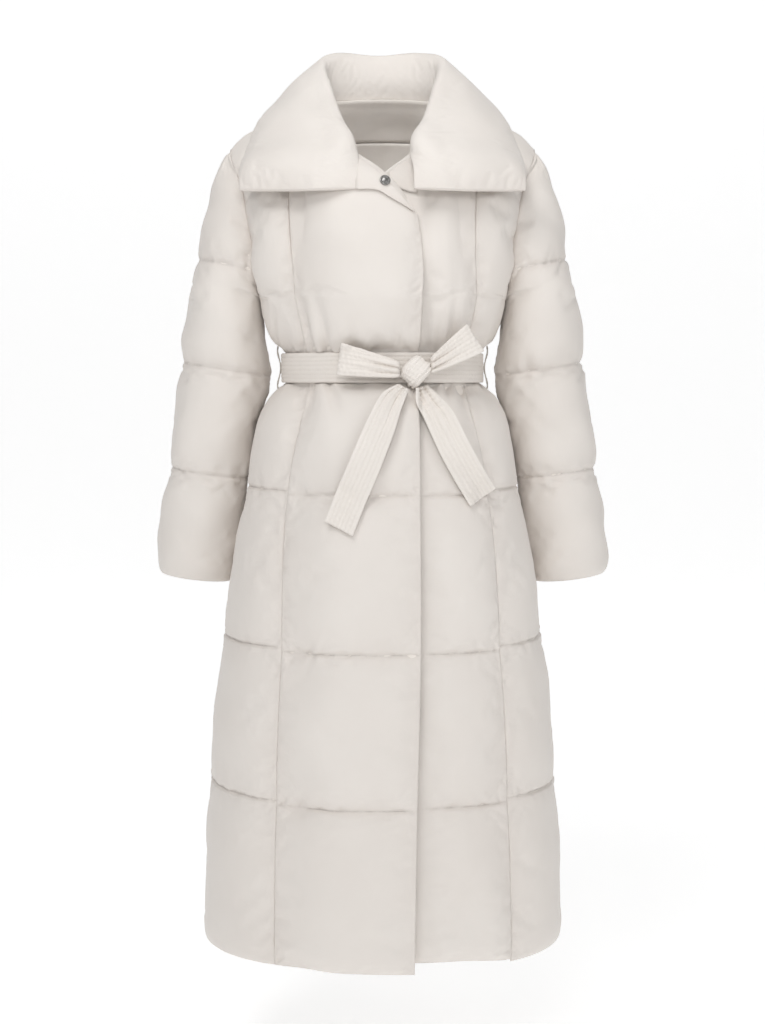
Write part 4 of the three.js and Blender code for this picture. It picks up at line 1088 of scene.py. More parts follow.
# ---- sleeves
@dataclass
class Sleeves:
    """Two set-in sleeves, quilted across three times, with plain open ends."""

    puff: float = 9.0
    reach_low: float = 48.0
    reach_high: float = 75.0
    lining_share: float = 0.4
    pitch: float = 7.5
    columns: int = 40
    pressed_above: float = -330.0  # the sleeve lies flat against the side above this
    relief: Relief = Relief(Puckers(8, 1.9, 14, 2.8), Puckers(9, 2.3, 18, 3.3), waves=2.0, wave_length=60)

    def surface(self) -> tuple[Array, Array, Array, list[int]]:
        """Work out the left sleeve's surface along its seams.

        Returns:
            Its grid of points from the cuff up, each row's outermost height, the row's level up the
            armhole, below 0 under it, and which rows are lines of quilting.
        """
        shares = graded(self.columns, 0.3)
        bounds = [SLEEVE("z", -632), *SLEEVE_QUILT_LINES[:2], -243.0]
        heights: list[float] = []
        lines = []
        for k, (low, high) in enumerate(zip(bounds[:-1], bounds[1:])):
            lines.append(len(heights))
            heights += list(mix(low, high, graded(round((high - low) / self.pitch), 0.4 if k < 2 else 0))[:-1])
        z = np.array(heights)[:, None]
        angle = (2 * shares - 1)[None] * math.pi
        inwards = 1 - np.cos(angle)
        rings = np.stack([
            SLEEVE("outer_x", z) - (SLEEVE("outer_x", z) - SLEEVE("inner_x", z)) / 2 * inwards,
            SLEEVE("centre_y", z) + SLEEVE("half_depth", z) * np.sin(angle),
            z - SLEEVE("drop", z) * inwards / 2,
        ], axis=-1)
        fine = np.linspace(0, CAP_TOP, 500)
        lengths = arc_lengths(np.stack([CAP("outer_x", fine), CAP("outer_z", fine)], axis=-1)[:, None], 0)[:, 0]
        line_at = lengths[np.argmin(np.abs(CAP("outer_z", fine) - SLEEVE_QUILT_LINES[2]))]
        under, over = round(line_at / self.pitch), round((lengths[-1] - line_at) / self.pitch)
        places = np.concatenate([mix(0, line_at, graded(under, 0))[:-1],
                                 mix(line_at, lengths[-1], graded(over, 0.3))])
        levels = np.interp(places, lengths, fine)
        opened = np.radians(CAP("open", levels))[:, None] * (2 * shares - 1)[None]
        cap = cap_point(np.repeat(levels[:, None], len(shares), axis=1), opened)
        lines = [*lines[1:], len(heights) + under]
        rows = np.concatenate([z[:, 0], CAP("outer_z", levels)])
        return np.concatenate([rings, cap]), rows, np.concatenate([np.full(len(z), -1.0), levels]), lines

    def lay_out(self) -> tuple[Panel, Array]:
        """Lay out the left sleeve before it is filled, and give its rows' levels up the armhole."""
        points, heights, levels, lines = self.surface()
        normals = grid_normals(points)
        centre = points.mean(axis=1, keepdims=True)
        normals = np.where(((points - centre) * [1, 1, 0] * normals).sum(-1).mean() < 0, -normals, normals)
        joined = unit(normals[:, 0] + normals[:, -1])
        below = levels <= 0
        normals[below, 0], normals[below, -1] = joined[below], joined[below]
        across = arc_lengths(points, 1)
        from_seam = np.minimum(across, across[:, -1:] - across)
        bounds = [heights[0], *heights[lines], heights[-1]]
        cell = np.zeros_like(heights)
        for k, (low, high) in enumerate(zip(bounds[:-1], bounds[1:])):
            inside = (heights >= low) & (heights <= high)
            z = heights[inside]
            reach_low = 26.0 if k == 0 else self.reach_low
            cell[inside] = swell(z - low, reach_low) * swell(high - z, self.reach_high if k < 3 else 34.0)
        under = smooth(from_seam / 90)
        pressed = np.where((heights > self.pressed_above)[:, None], under, mix(0.5, 1.0, under))
        pressed = np.where((levels > 0)[:, None], swell(from_seam, 42.0, 2.2), pressed)
        full = cell[:, None] * pressed
        held = np.zeros_like(full)
        held[:, [0, -1]] = 1
        held[[0, -1]] = 1
        held[lines] = 1
        held[(heights > self.pressed_above)[:, None] & (levels <= 0)[:, None] & (from_seam < 34)] = 1
        return Panel("sleeve_left", points, normals, heights, held, self.puff * full,
                     self.puff * full * self.lining_share, lines), levels

    def cloth(self, panel: Panel, settled: Array, side: Side, rng: Rng) -> Cloth:
        """Finish one sleeve.

        Args:
            panel: the left sleeve as laid out.
            settled: its outer face once filled.
            side: which sleeve it is.
            rng: the source of its creases' unevenness.

        Returns:
            The sleeve's wall.
        """
        fine, valley, normals, out = panel.refine(settled)
        across, up = arc_lengths(fine, 1), arc_lengths(fine, 0)
        wide = across[:, -1:] - across
        seam = np.minimum(across, wide)
        relief = self.relief.waves * unevenness(fine, self.relief.wave_length, rng) * np.clip(
            refined(panel.puff) / 6, 0, 1)
        for line in panel.lines:
            away = up - up[2 * line]
            relief += self.relief.at_line.height(across, away, rng) + self.relief.at_line.height(across, -away, rng)
            relief -= self.relief.groove * bell(away / self.relief.groove_width)
        relief += self.relief.at_seam.height(up, across, rng) + self.relief.at_seam.height(up, wide, rng)
        relief -= self.relief.groove * bell(seam / self.relief.groove_width)
        relief *= (0.15 + 0.85 * smooth(seam / 5)) * smooth(from_last(fine) / 8)
        fine = fine + out * relief[..., None]
        inner = valley - normals * (HALF_WALL + np.maximum(refined(panel.lining), 0))[..., None]
        near = nearness(seam, *(np.abs(up - up[2 * line]) for line in panel.lines))
        edges = (True, True, True)
        return Cloth(mirrored(pulled_in(fine, *edges), side), mirrored(pulled_in(inner, *edges), side), near)


# ---- collar
@dataclass
class Collar:
    """The wide turned-down collar, from one front end round the neck to the other.

    Each station gives where the collar is sewn on, the top of its fold, its outer edge, how far its fall
    arches out over the shoulder, and how much of its width stands up.
    """

    stations: tuple[tuple, ...] = (
        ((31, -145, -126), (81, -150, -128), (183, -98, -123), -1, 0.32),
        ((31, -133, -99), (79, -136, -96), (184, -86, -101), 9, 0.32),
        ((33, -110, -75), (42, -116, -62), (181, -62, -79), 16, 0.10),
        ((57, -72, -42), (51, -80, -31), (174, -36, -54), 18, 0.13),
        ((77, -30, -8), (64, -36, 8), (167, -4, -27), 11, 0.22),
        ((85, 8, 5), (77, 14, 56), (160, 34, -20), 6, 0.33),
        ((76, 36, 9), (71, 44, 77), (138, 78, -32), 8, 0.37),
        ((44, 58, 14), (44, 68, 86), (82, 120, -52), 12, 0.37),
        ((0, 66, 17), (0, 76, 86), (0, 138, -58), 14, 0.37),
    )
    left_shift: tuple[float, ...] = (9, 8, 3)      # the left end's first stations start further out
    sewn: float = 3.0
    middle: float = 15.0
    edge: float = 4.0
    around: int = 150
    wide: int = 34
    softness: int = 6              # how far the fold's crease is rounded off
    flat_fold: float = 0.45        # how much less filling there is along the fold
    fold_share: float = 0.33

    def surface(self) -> Array:
        """Work out the middle surface: rows from the seam to the outer edge, columns round the neck."""
        half = [(s[0], s[1], s[2], (s[3], 100 * s[4], 0)) for s in self.stations]
        flip = np.array([-1.0, 1.0, 1.0])
        right = [[np.array(p, float) * flip for p in s[:3]] + [np.array(s[3], float)] for s in half]
        left = [[np.array(p, float) for p in s] for s in half[:-1]]
        for station, shift in zip(left, self.left_shift):
            station[0][0] += shift
        left.reverse()
        both = right + left
        around = mix(graded(self.around, 0.0), graded(self.around, 0.6), 0.5)
        seam, fold, edge, form = (Curve([s[k] for s in both]).at(around) for k in range(4))
        lift, stand = form[:, 0], form[:, 1] / 100
        out = unit((edge - seam) * [1, 1, 0])
        arch = unit(np.concatenate([out[:, :2], np.full((len(out), 1), 1.2)], axis=1))
        rows = []
        for h in graded(self.wide, 0.35):
            low = mix(seam, fold, np.minimum(h / stand, 1)[:, None])
            t = np.clip((h - stand) / (1 - stand), 0, 1)
            high = mix(fold, edge, t[:, None]) + arch * (lift * np.sin(math.pi * t**0.8))[:, None]
            rows.append(np.where((h <= stand)[:, None], low, high))
        return blurred(np.array(rows), 0, self.softness)

    def lay_out(self) -> Panel:
        """Lay out the collar before it is filled."""
        points = self.surface()
        normals = grid_normals(points)
        normals = -normals if normals[-self.wide // 3:, :, 2].mean() < 0 else normals
        up = arc_lengths(points, 0)
        share = up / up[-1:]
        from_end = arc_lengths(points, 1)
        from_end = np.minimum(from_end, from_end[:, -1:] - from_end)
        body = swell(up, 30, 2.2) * swell(up[-1:] - up, 26, 2.4) * mix(0.3, 1.0, swell(from_end, 30, 2.2))
        body *= 1 - self.flat_fold * bell((share - self.fold_share) / 0.12)
        thin = mix(self.sewn, self.edge, share)
        half = thin / 2 + (self.middle - thin) / 2 * body
        held = np.zeros_like(half)
        held[[0, -1]] = 1
        held[:, [0, -1]] = 1
        held = np.maximum(held, 0.25 * (share < 0.3))
        return Panel("collar", points, normals, share[:, 0], held, half - HALF_WALL, half - HALF_WALL)

    def cloth(self, panel: Panel, settled: Array, rng: Rng) -> Cloth:
        """Finish the collar.

        Args:
            panel: the collar as laid out.
            settled: its upper face once filled.
            rng: the source of its creases' unevenness.

        Returns:
            The collar's wall.
        """
        fine, valley, normals, out = panel.refine(settled)
        across, up = arc_lengths(fine, 1), arc_lengths(fine, 0)
        to_edge = up[-1:] - up
        relief = 1.0 * unevenness(fine, 75, rng) * swell(to_edge, 25) * swell(up, 25)
        relief += Puckers(15, 0.8, 13, 4.5).height(across, to_edge, rng)
        relief += Puckers(16, 0.7, 12, 4.5).height(up, across, rng)
        relief += Puckers(16, 0.7, 12, 4.5).height(up, across[:, -1:] - across, rng)
        fine = fine + out * relief[..., None]
        inner = valley - normals * (HALF_WALL + refined(panel.lining))[..., None]
        return Cloth(fine, inner, nearness(to_edge, across, across[:, -1:] - across))


# ---- what lies on the panels
class FrontFinder:
    """Finds how far forward some pieces reach at a place seen from the front."""

    STARTS = -900.0                # well in front of the coat

    def __init__(self, faces: Sequence[Array]) -> None:
        """Take the outer faces of the pieces, as grids of points."""
        verts: list[list[float]] = []
        quads: list[list[int]] = []
        for face in faces:
            quads += grid_faces(*face.shape[:2], len(verts)).tolist()
            verts += face.reshape(-1, 3).tolist()
        self.tree = BVHTree.FromPolygons(verts, quads)

    def hit(self, x: float, z: float) -> tuple[Vector | None, Vector | None]:
        """Give the frontmost point at one place, and the way out there."""
        return self.tree.ray_cast(Vector((x, self.STARTS, z)), Vector((0, 1, 0)))[:2]

    def __call__(self, x: Array, z: Array) -> Array:
        """Give y of the frontmost face at each place, or no number where there is none."""
        flat = [self.hit(float(a), float(b))[0] for a, b in zip(np.ravel(x), np.ravel(z))]
        return np.array([math.nan if hit is None else hit.y for hit in flat]).reshape(np.shape(x))


def even_wall(points: Array, thickness: float, edge: float = 2.5, seams: Array | None = None) -> Cloth:
    """Give a surface one thickness, with rounded edges.

    Args:
        points: the middle surface.
        thickness: the whole thickness.
        edge: how far in from its edges it is thinner.
        seams: how near each point is to a line of stitches.

    Returns:
        The wall.
    """
    across, up = arc_lengths(points, 1), arc_lengths(points, 0)
    from_edge = np.minimum.reduce([across, across[:, -1:] - across, up, up[-1:] - up])
    half = thickness / 2 * mix(0.45, 1.0, rounded(from_edge, edge))[..., None]
    normals = grid_normals(points)
    near = nearness(from_edge) if seams is None else seams
    return Cloth(points + normals * half, points - normals * half, near)


@dataclass
class Facings:
    """The fronts' facings, turned out below the collar. Each station is a place on the roll and at the edge."""

    right: tuple = (((-34, -80), (-34, -127)), ((-15, -95), (-6, -128)), ((1, -110), (10, -137)),
                    ((16, -126), (23, -144)), ((31, -142), (34, -150)), ((39, -150), (41, -154)))
    left: tuple = (((44, -74), (44, -128)), ((34, -83), (34, -127)), ((20, -92), (19, -122)), ((8, -102), (8, -118)))
    thickness: float = 2.0
    roll: float = 2.5
    clearance: float = 1.3

    def cloth(self, stations: tuple, front: FrontFinder, lift: float, rng: Rng) -> Cloth:
        """Build one facing.

        Args:
            stations: where it rolls over and where it ends.
            front: finds what it lies on.
            lift: how far it stands out from there.
            rng: the source of its unevenness.

        Returns:
            Its wall.
        """
        along = np.linspace(0, 1, 30)
        roll, edge = (Curve([(*s[k], 0) for s in stations]).at(along)[:, :2] for k in (0, 1))
        h = np.linspace(0, 1, 22)[None, :, None]
        flat = mix(roll[:, None], edge[:, None], h)
        y = front(flat[..., 0], flat[..., 1])
        known = np.where(np.isnan(y), np.nanmin(y), y)
        for axis in (0, 1):
            known = blurred(known, axis, 6)
        known = np.minimum(known, np.where(np.isnan(y), known, y))
        known = known - lift - self.roll * (1 - h[..., 0]) ** 2
        points = np.stack([flat[..., 0], known, flat[..., 1]], axis=-1)
        points[..., 1] -= 0.5 * np.abs(unevenness(points, 30, rng))
        return even_wall(points, self.thickness)


@dataclass
class InsideBack:
    """What shows inside the back: the neck facing and, below it, the lining."""

    thickness: float = 1.2
    clearance: float = 1.3
    facing_depth: float = 66.0
    lining_top: float = 0.8        # the share of its last row that the lining keeps below the facing
    reach_up: float = 12.0         # the facing's top reaches this far up from the panel's last row but one
    centre_seam: float = 0.0
    facing_seam: float = 36.0
    foot: float = -318.0           # the lining starts under the belt, at this height
    groove: tuple[float, float] = (0.9, 1.2)        # a seam's depth and width
    fold: tuple[float, float, float] = (0.5, 4.0, 3.5)      # the fold beside it: height, place and width
    waves: tuple[float, float] = (0.5, 45.0)

    def cloths(self, panel: Panel, rng: Rng) -> dict[str, Cloth]:
        """Build the neck facing and the lining.

        Args:
            panel: the middle back panel, which they lie in.
            rng: the source of their unevenness.

        Returns:
            Both walls, by name.
        """
        first = int(np.argmin(np.abs(panel.heights - self.foot)))
        points, normals = panel.points[first:, 1:-1].copy(), panel.normals[first:, 1:-1]
        points[-1] = points[-2] + self.reach_up * unit(points[-1] - points[-2])
        lining = np.maximum(panel.lining[first:, 1:-1], 0)
        inner = refined(points - normals * (HALF_WALL + lining + self.clearance)[..., None])
        split = int(np.argmin(np.abs(from_last(inner)[:, inner.shape[1] // 2] - self.facing_depth)))
        made = {}
        for name, rows in (("back_lining", slice(0, split + 1)), ("back_neck_facing", slice(split, None))):
            part = inner[rows].copy()
            out = unit(refined(normals)[rows])
            across, up = arc_lengths(part, 1), arc_lengths(part, 0)
            seam = part[..., 0] - (self.centre_seam if name == "back_lining" else self.facing_seam)
            (deep, wide), (high, place, reach), (waves, length) = self.groove, self.fold, self.waves
            sunk = self.thickness - deep * bell(seam / wide) + high * bell((seam - place) / reach)
            sunk += waves * unevenness(part, length, rng) * smooth(np.minimum(up, up[-1:] - up) / 15)
            if name == "back_lining":
                part[-1] = part[-2] + self.lining_top * (part[-1] - part[-2])
            near = nearness(across, across[:, -1:] - across, up, up[-1:] - up, np.abs(seam))
            made[name] = Cloth(part - out * sunk[..., None], part, near)
        return made


# ---- belt and bow
def leaning(degrees: Array | float) -> Array:
    """Give the direction across a ribbon that leans by some degrees from level, seen from the front."""
    angle = np.radians(degrees)
    return np.stack([np.cos(angle), np.zeros_like(angle), -np.sin(angle)], axis=-1)


@dataclass(frozen=True)
class Ribbon:
    """The make of the belt: its thickness and the rows of stitches along it."""

    thickness: float = 3.2
    rows: int = 6
    drawn_in: float = 0.75
    crinkle: float = 0.36
    border: float = 2.4

    def row_places(self) -> Array:
        """Give the rows' places across the ribbon, from -1 to 1."""
        return np.linspace(-1, 1, self.rows + 2)[1:-1]

    def near_rows(self, across: Array, half: Array | float) -> Array:
        """Say how near each point is to a row, by its place across and half the ribbon's width there."""
        return nearness(np.min([np.abs(across - row) for row in self.row_places()], axis=0) * half * 3)

    def relief(self, across: Array, along: Array, half: Array | float, rng: Rng) -> Array:
        """Work out the ribbon's surface between its rows of stitches.

        Args:
            across: each point's place across, from -1 to 1.
            along: its place along, in millimetres.
            half: half the ribbon's width there.
            rng: the source of the crinkle.

        Returns:
            How far each point moves along its way out.
        """
        total = np.zeros(np.broadcast(across, along).shape)
        for row in self.row_places():
            total -= self.drawn_in * bell((across - row) * half / 0.9)
            phase = rng.uniform(0, 6.28)
            ripple = np.sin(along * 2 * math.pi / 6.3 + phase + 1.1 * np.sin(along / 17 + phase))
            total += self.crinkle * ripple * bell((across - row) * half / 3.0)
        return total


@dataclass
class Belt:
    """The tie belt: a band round the waist, tied at the front in a bow with two loops and two tails.

    A loop runs from its root beside the knot to its folded end. A tail's stations are its places across and
    up, half its width and how far it leans.
    """

    ribbon: Ribbon = Ribbon()
    band_thickness: float = 4.0
    band_half: float = 19.5        # half its width
    inset: float = 1.5
    clearance: float = 1.3
    knot_at: tuple[float, float] = (42.0, -354.5)
    knot_size: tuple[float, float, float] = (17.0, 12.0, 20.0)
    loops: tuple = (
        ("bow_loop_right", (22, -352), (-54, -339), 9.0, 20.5, 11.0, 8.0),
        ("bow_loop_left", (61, -347), (118, -312), 9.0, 20.5, 11.0, -33.0),
    )
    tails: tuple = (
        ("belt_tail_right", ((26, -374, 8, 28), (13, -388, 15, 27), (-3, -424, 19, 25), (-22, -470, 20, 26),
                             (-41, -515, 20, 27), (-55, -550, 20, 28))),
        ("belt_tail_left", ((50, -374, 8, -14), (57, -388, 15, -14), (71, -409, 19, -20), (91, -450, 20, -28),
                            (111, -486, 20, -32), (129, -515, 20, -33))),
    )
    tail_lift: tuple[float, float] = (17.0, 5.0)

    def band(self, rng: Rng) -> Cloth:
        """Build the band that lies in the groove of the waist."""
        turn = np.linspace(-2, 2, 341)
        in_front = np.abs(turn) <= 1
        turned = np.where(in_front, turn, np.sign(turn) * 2 - turn)
        edges = []
        for z, inset in ((BELT_BOTTOM, self.inset), (BELT_TOP, -self.inset)):
            at = np.full_like(turn, z)
            p = np.where(in_front[:, None], section(at, turned, Face.FRONT), section(at, turned, Face.BACK))
            edges.append(p + [0, 0, inset])
        h = np.linspace(0, 1, 37)[:, None, None]
        points = mix(edges[0][None], edges[1][None], h)
        normals = turned_to(grid_normals(points), points * [1, 1, 0])
        joined = unit(normals[:, 0] + normals[:, -1])
        normals[:, 0] = normals[:, -1] = joined
        x, y = points[..., 0], points[..., 1]
        lap = np.where(y < 0, BODY("lap", BELT_TOP) * smooth((x + LAP_STARTS) / LAP_RAMP)
                       * (1 - smooth((x - LAP_HIDES) / 26)), 0)
        middle = points + normals * (HALF_WALL + self.clearance + self.band_thickness / 2 + lap)[..., None]
        across = np.broadcast_to(2 * h[..., 0] - 1, x.shape)
        along = arc_lengths(middle, 1)
        relief = self.ribbon.relief(across, along, self.band_half, rng) + 0.5 * unevenness(middle, 60, rng)
        relief *= (1 - bell(along / 8)) * (1 - bell((along[:, -1:] - along) / 8))
        edge = rounded((1 - np.abs(across)) * self.band_half, self.ribbon.border)
        half = self.band_thickness / 2 * mix(0.35, 1.0, edge)
        return Cloth(middle + normals * (half + relief)[..., None], middle - normals * half[..., None],
                     self.ribbon.near_rows(across, self.band_half))

    def wrapped(self, points: Array, half: Array, rng: Rng) -> Cloth:
        """Give a ribbon's middle surface its thickness, stitching and crinkle.

        Args:
            points: rows along the ribbon, columns across it.
            half: half the ribbon's width on each row.
            rng: the source of the crinkle.

        Returns:
            Its wall.
        """
        across = np.broadcast_to(np.linspace(-1, 1, points.shape[1]), points.shape[:2])
        along = arc_lengths(points, 0)
        normals = grid_normals(points)
        relief = self.ribbon.relief(across, along, half, rng)
        from_end = np.minimum(along, along[-1:] - along)
        edge = rounded(np.minimum((1 - np.abs(across)) * half, from_end), self.ribbon.border)
        thick = self.ribbon.thickness / 2 * mix(0.35, 1.0, edge)
        return Cloth(points + normals * (thick + relief)[..., None], points - normals * (thick - relief)[..., None],
                     self.ribbon.near_rows(across, half))

    def loop(self, form: tuple, front: FrontFinder, rng: Rng) -> Cloth:
        """Build one loop of the bow.

        Args:
            form: its name, root, end, half widths at both, depth and lean.
            front: finds what lies behind it.
            rng: the source of its pleats' unevenness.

        Returns:
            Its wall.
        """
        _, root, end, root_half, end_half, depth, lean = form
        behind = float(np.nanmin(front(np.array([root[0], (root[0] + end[0]) / 2]),
                                       np.array([root[1], (root[1] + end[1]) / 2]))))
        t = np.linspace(0, 1, 150)
        reach = np.sin(math.pi * t) ** 0.8
        bulge = np.cos(math.pi * t) * (0.35 + 0.65 * np.sin(math.pi * t))
        middle = np.stack([mix(root[0], end[0], reach), np.zeros_like(t), mix(root[1], end[1], reach)], axis=-1)
        half = mix(root_half, end_half, reach**0.7)
        way = leaning(90 + lean * reach)
        a = np.linspace(-1, 1, 41)
        points = middle[:, None] + way[:, None] * (half[:, None] * a)[..., None]
        rest = front(points[..., 0], points[..., 2])
        rest = np.minimum(behind, np.where(np.isnan(rest), behind, rest))
        for _ in range(3):
            rest = blurred(blurred(rest, 0, 4), 1, 2)
        points[..., 1] = rest - self.clearance - self.ribbon.thickness - depth - depth * bulge[:, None]
        pleat = np.zeros_like(rest)
        for place, deep, wide, far in ((-0.62, 2.6, 0.16, 0.42), (-0.2, -3.0, 0.15, 0.62), (0.14, 2.8, 0.14, 0.5),
                                       (0.5, -2.6, 0.15, 0.7), (0.8, 1.8, 0.12, 0.35)):
            at = place * mix(1.0, 0.82, reach)[:, None] + 0.05 * np.sin(5 * reach + place)[:, None]
            pleat += deep * bell((a[None] - at) / (wide * mix(1.0, 1.7, reach)[:, None])) \
                * bell(reach / far)[:, None] * smooth(reach / 0.06)[:, None]
        outwards = np.where(t < 0.5, -1.0, 0.55)[:, None] * smooth(np.abs(t - 0.5) / 0.1)[:, None]
        points[..., 1] += pleat * outwards + 1.2 * outwards * (1 - a[None] ** 2) * reach[:, None]
        points[..., 1] += 0.7 * unevenness(points, 26, rng) * smooth(np.abs(t - 0.5) / 0.12)[:, None]
        return self.wrapped(points, half[:, None], rng)

    def tail(self, stations: tuple, front: FrontFinder, rng: Rng) -> Cloth:
        """Build one hanging tail.

        Args:
            stations: its places, half widths and leans from the knot down.
            front: finds what it hangs against.
            rng: the source of its pleats' unevenness.

        Returns:
            Its wall.
        """
        t = np.linspace(0, 1, 110)
        place = Curve([(s[0], s[1], 0) for s in stations]).at(t)
        form = Curve([(s[2], s[3], 0) for s in stations]).at(t)
        half, lean = form[:, 0], form[:, 1]
        a = np.linspace(-1, 1, 41)
        points = np.stack([place[:, 0], np.zeros_like(t), place[:, 1]], axis=-1)[:, None] \
            + leaning(lean)[:, None] * (half[:, None] * a)[..., None]
        rest = front(points[..., 0], points[..., 2])
        middle = rest[:, 20:21]
        rest = np.minimum(np.where(np.isnan(rest), middle, rest), middle)
        rest = blurred(blurred(rest, 0, 14), 1, 6)
        points[..., 1] = rest - mix(*self.tail_lift, t)[:, None]
        drop = arc_lengths(points, 0)
        for at, deep, wide, far in ((-0.55, -2.6, 0.2, 60), (-0.12, 2.4, 0.17, 85), (0.3, -2.8, 0.18, 75),
                                    (0.66, 2.0, 0.16, 50)):
            spread = wide * mix(1.0, 1.9, smooth(drop / 90))
            points[..., 1] -= deep * bell((a[None] - at * mix(1, 0.8, t)[:, None]) / spread) * bell(drop / far)
        points[..., 1] -= 0.7 * unevenness(points, 40, rng)
        return self.wrapped(points, half[:, None], rng)

    def knot(self, front: FrontFinder, rng: Rng) -> Array:
        """Shape the knot: the belt wrapped once round itself, slantwise, and bunched into folds.

        Args:
            front: finds what lies behind it.
            rng: the source of its unevenness.

        Returns:
            Rows of points round it, from one pole to the other.
        """
        wide, deep, high = self.knot_size
        x, z = self.knot_at
        y = float(front(np.array([x]), np.array([z]))[0]) - deep - self.clearance
        s = np.linspace(-1, 1, 81)[:, None]
        angle = np.linspace(0, 2 * math.pi, 144, endpoint=False)[None]
        shoulder = (1 - np.abs(s) ** 4.0) ** (1 / 2.4)
        slim = shoulder * (1 - 0.10 * np.cos(math.pi * s * 0.9))
        fold = np.zeros(np.broadcast(s, angle).shape)
        for at, sink, width, turn in ((-0.56, -2.4, 0.10, 0.10), (-0.22, -0.9, 0.05, 0.16), (0.05, -0.7, 0.05, 0.12),
                                      (0.3, -0.9, 0.05, -0.1), (0.55, -1.6, 0.07, -0.16), (0.78, -0.7, 0.05, -0.1)):
            line = at + turn * np.sin(angle - 0.6)
            fold += sink * bell((s - line) / width) * shoulder
        fold += 1.3 * bell((s + 0.38 - 0.1 * np.sin(angle)) / 0.12) * shoulder
        fold += 0.3 * np.sin(16.8 * angle + 4 * s) * shoulder
        tilt = math.radians(48.0)
        axis = np.array([-math.sin(tilt), 0.0, math.cos(tilt)])
        sideways = np.array([math.cos(tilt), 0.0, math.sin(tilt)])
        points = ((high * 0.98 * slim + fold) * np.cos(angle))[..., None] * sideways \
            + ((deep * slim + 0.8 * fold) * np.sin(angle))[..., None] * np.array([0, 1.0, 0]) \
            + (wide * 0.92 * np.broadcast_to(s, fold.shape))[..., None] * axis
        points += 0.5 * unevenness(points, 24, rng)[..., None] * unit(points)
        return points + np.array([x, y, z])


def closed_round(name: str, rings: Array, material: Material) -> Object:
    """Make one closed mesh of rings of points, whose first and last rings are drawn together to a point.

    Args:
        name: the object's name.
        rings: the rings from one pole to the other.
        material: its material.

    Returns:
        The new object, with a UV map in metres of cloth.
    """
    count, around = rings.shape[0] - 2, rings.shape[1]
    verts = np.concatenate([rings[1:-1].reshape(-1, 3), rings[:1].mean(axis=1), rings[-1:].mean(axis=1)])
    index = np.arange(count * around).reshape(count, around)
    after = np.roll(index, -1, axis=1)
    quads = np.stack([index[:-1], after[:-1], after[1:], index[1:]], axis=-1).reshape(-1, 4).tolist()
    low = [[count * around, b, a] for a, b in zip(index[0].tolist(), after[0].tolist())]
    high = [[count * around + 1, a, b] for a, b in zip(index[-1].tolist(), after[-1].tolist())]
    made = mesh_object(name, verts, [face[::-1] for face in quads + low + high], material)
    places = np.stack([arc_lengths(rings, 1), arc_lengths(rings, 0)], axis=-1)[1:-1].reshape(-1, 2)
    lay_cloth(made.data, np.concatenate([places, np.zeros((2, 2))]), np.full(len(verts), KNOT_NEAR))
    bpy.ops.object.select_all(action="DESELECT")
    bpy.context.view_layer.objects.active = made
    bpy.ops.object.mode_set(mode="EDIT")
    bpy.ops.mesh.select_all(action="SELECT")
    bpy.ops.mesh.normals_make_consistent(inside=False)
    bpy.ops.object.mode_set(mode="OBJECT")
    return made


def tube(name: str, paths: Sequence[Array], radius: float, sides: int, material: Material
         ) -> Object:
    """Make one mesh of closed tubes along some paths.

    Args:
        name: the object's name.
        paths: each tube's points.
        radius: the tubes' radius.
        sides: how many sides they have.
        material: their material.

    Returns:
        The new object.
    """
    verts: list[Array] = []
    faces: list[list[int]] = []
    total = 0
    angle = np.linspace(0, 2 * math.pi, sides, endpoint=False)
    for path in paths:
        way = unit(np.gradient(path, axis=0))
        side = unit(np.cross(way, [0.13, 0.2, 0.97]))
        up = np.cross(way, side)
        ring = path[:, None] + radius * (np.cos(angle)[None, :, None] * side[:, None]
                                         + np.sin(angle)[None, :, None] * up[:, None])
        count = len(path)
        index = np.arange(count * sides).reshape(count, sides) + total
        after = np.roll(index, -1, axis=1)
        quads = np.stack([index[:-1], after[:-1], after[1:], index[1:]], axis=-1).reshape(-1, 4)
        faces += quads.tolist() + [index[0][::-1].tolist(), index[-1].tolist()]
        verts.append(ring.reshape(-1, 3))
        total += count * sides
    return mesh_object(name, np.concatenate(verts), faces, material)


@dataclass
class Carriers:
    """The loops of thread at the side seams that carry the belt."""

    radius: float = 0.8
    strands: float = 1.7           # from one strand's middle to the other's
    turns: float = 2.5
    stand_off: float = 9.7

    def build(self, side: Side, material: Material) -> Object:
        """Build one carrier of two strands twisted loosely round each other.

        Args:
            side: the side it is on.
            material: its thread.

        Returns:
            The new object.
        """
        def at(z: float, out: float) -> Array:
            """Give a point that stands out from the side seam at a height."""
            return section(np.array(z), np.array(1.0), Face.FRONT) + [out, 0, 0]

        line = Curve([at(BELT_TOP + 9, 5.5), at(BELT_TOP + 1, self.stand_off + 2),
                      at((BELT_TOP + BELT_BOTTOM) / 2, self.stand_off + 1), at(BELT_BOTTOM - 1, self.stand_off + 2),
                      at(BELT_BOTTOM - 7, 6.5)])
        share = np.linspace(0, 1, 60)
        middle = line.at(share)
        turn = share * 2 * math.pi * self.turns
        paths = []
        for phase in (0, math.pi):
            offset = np.stack([np.zeros_like(turn), np.cos(turn + phase), np.zeros_like(turn)], axis=-1)
            offset[:, 0] = 0.5 * np.sin(turn + phase)
            paths.append(mirrored(middle + offset * self.strands / 2, side))
        return tube(f"thread_loop_{side.name.lower()}", paths, self.radius, 8, material)


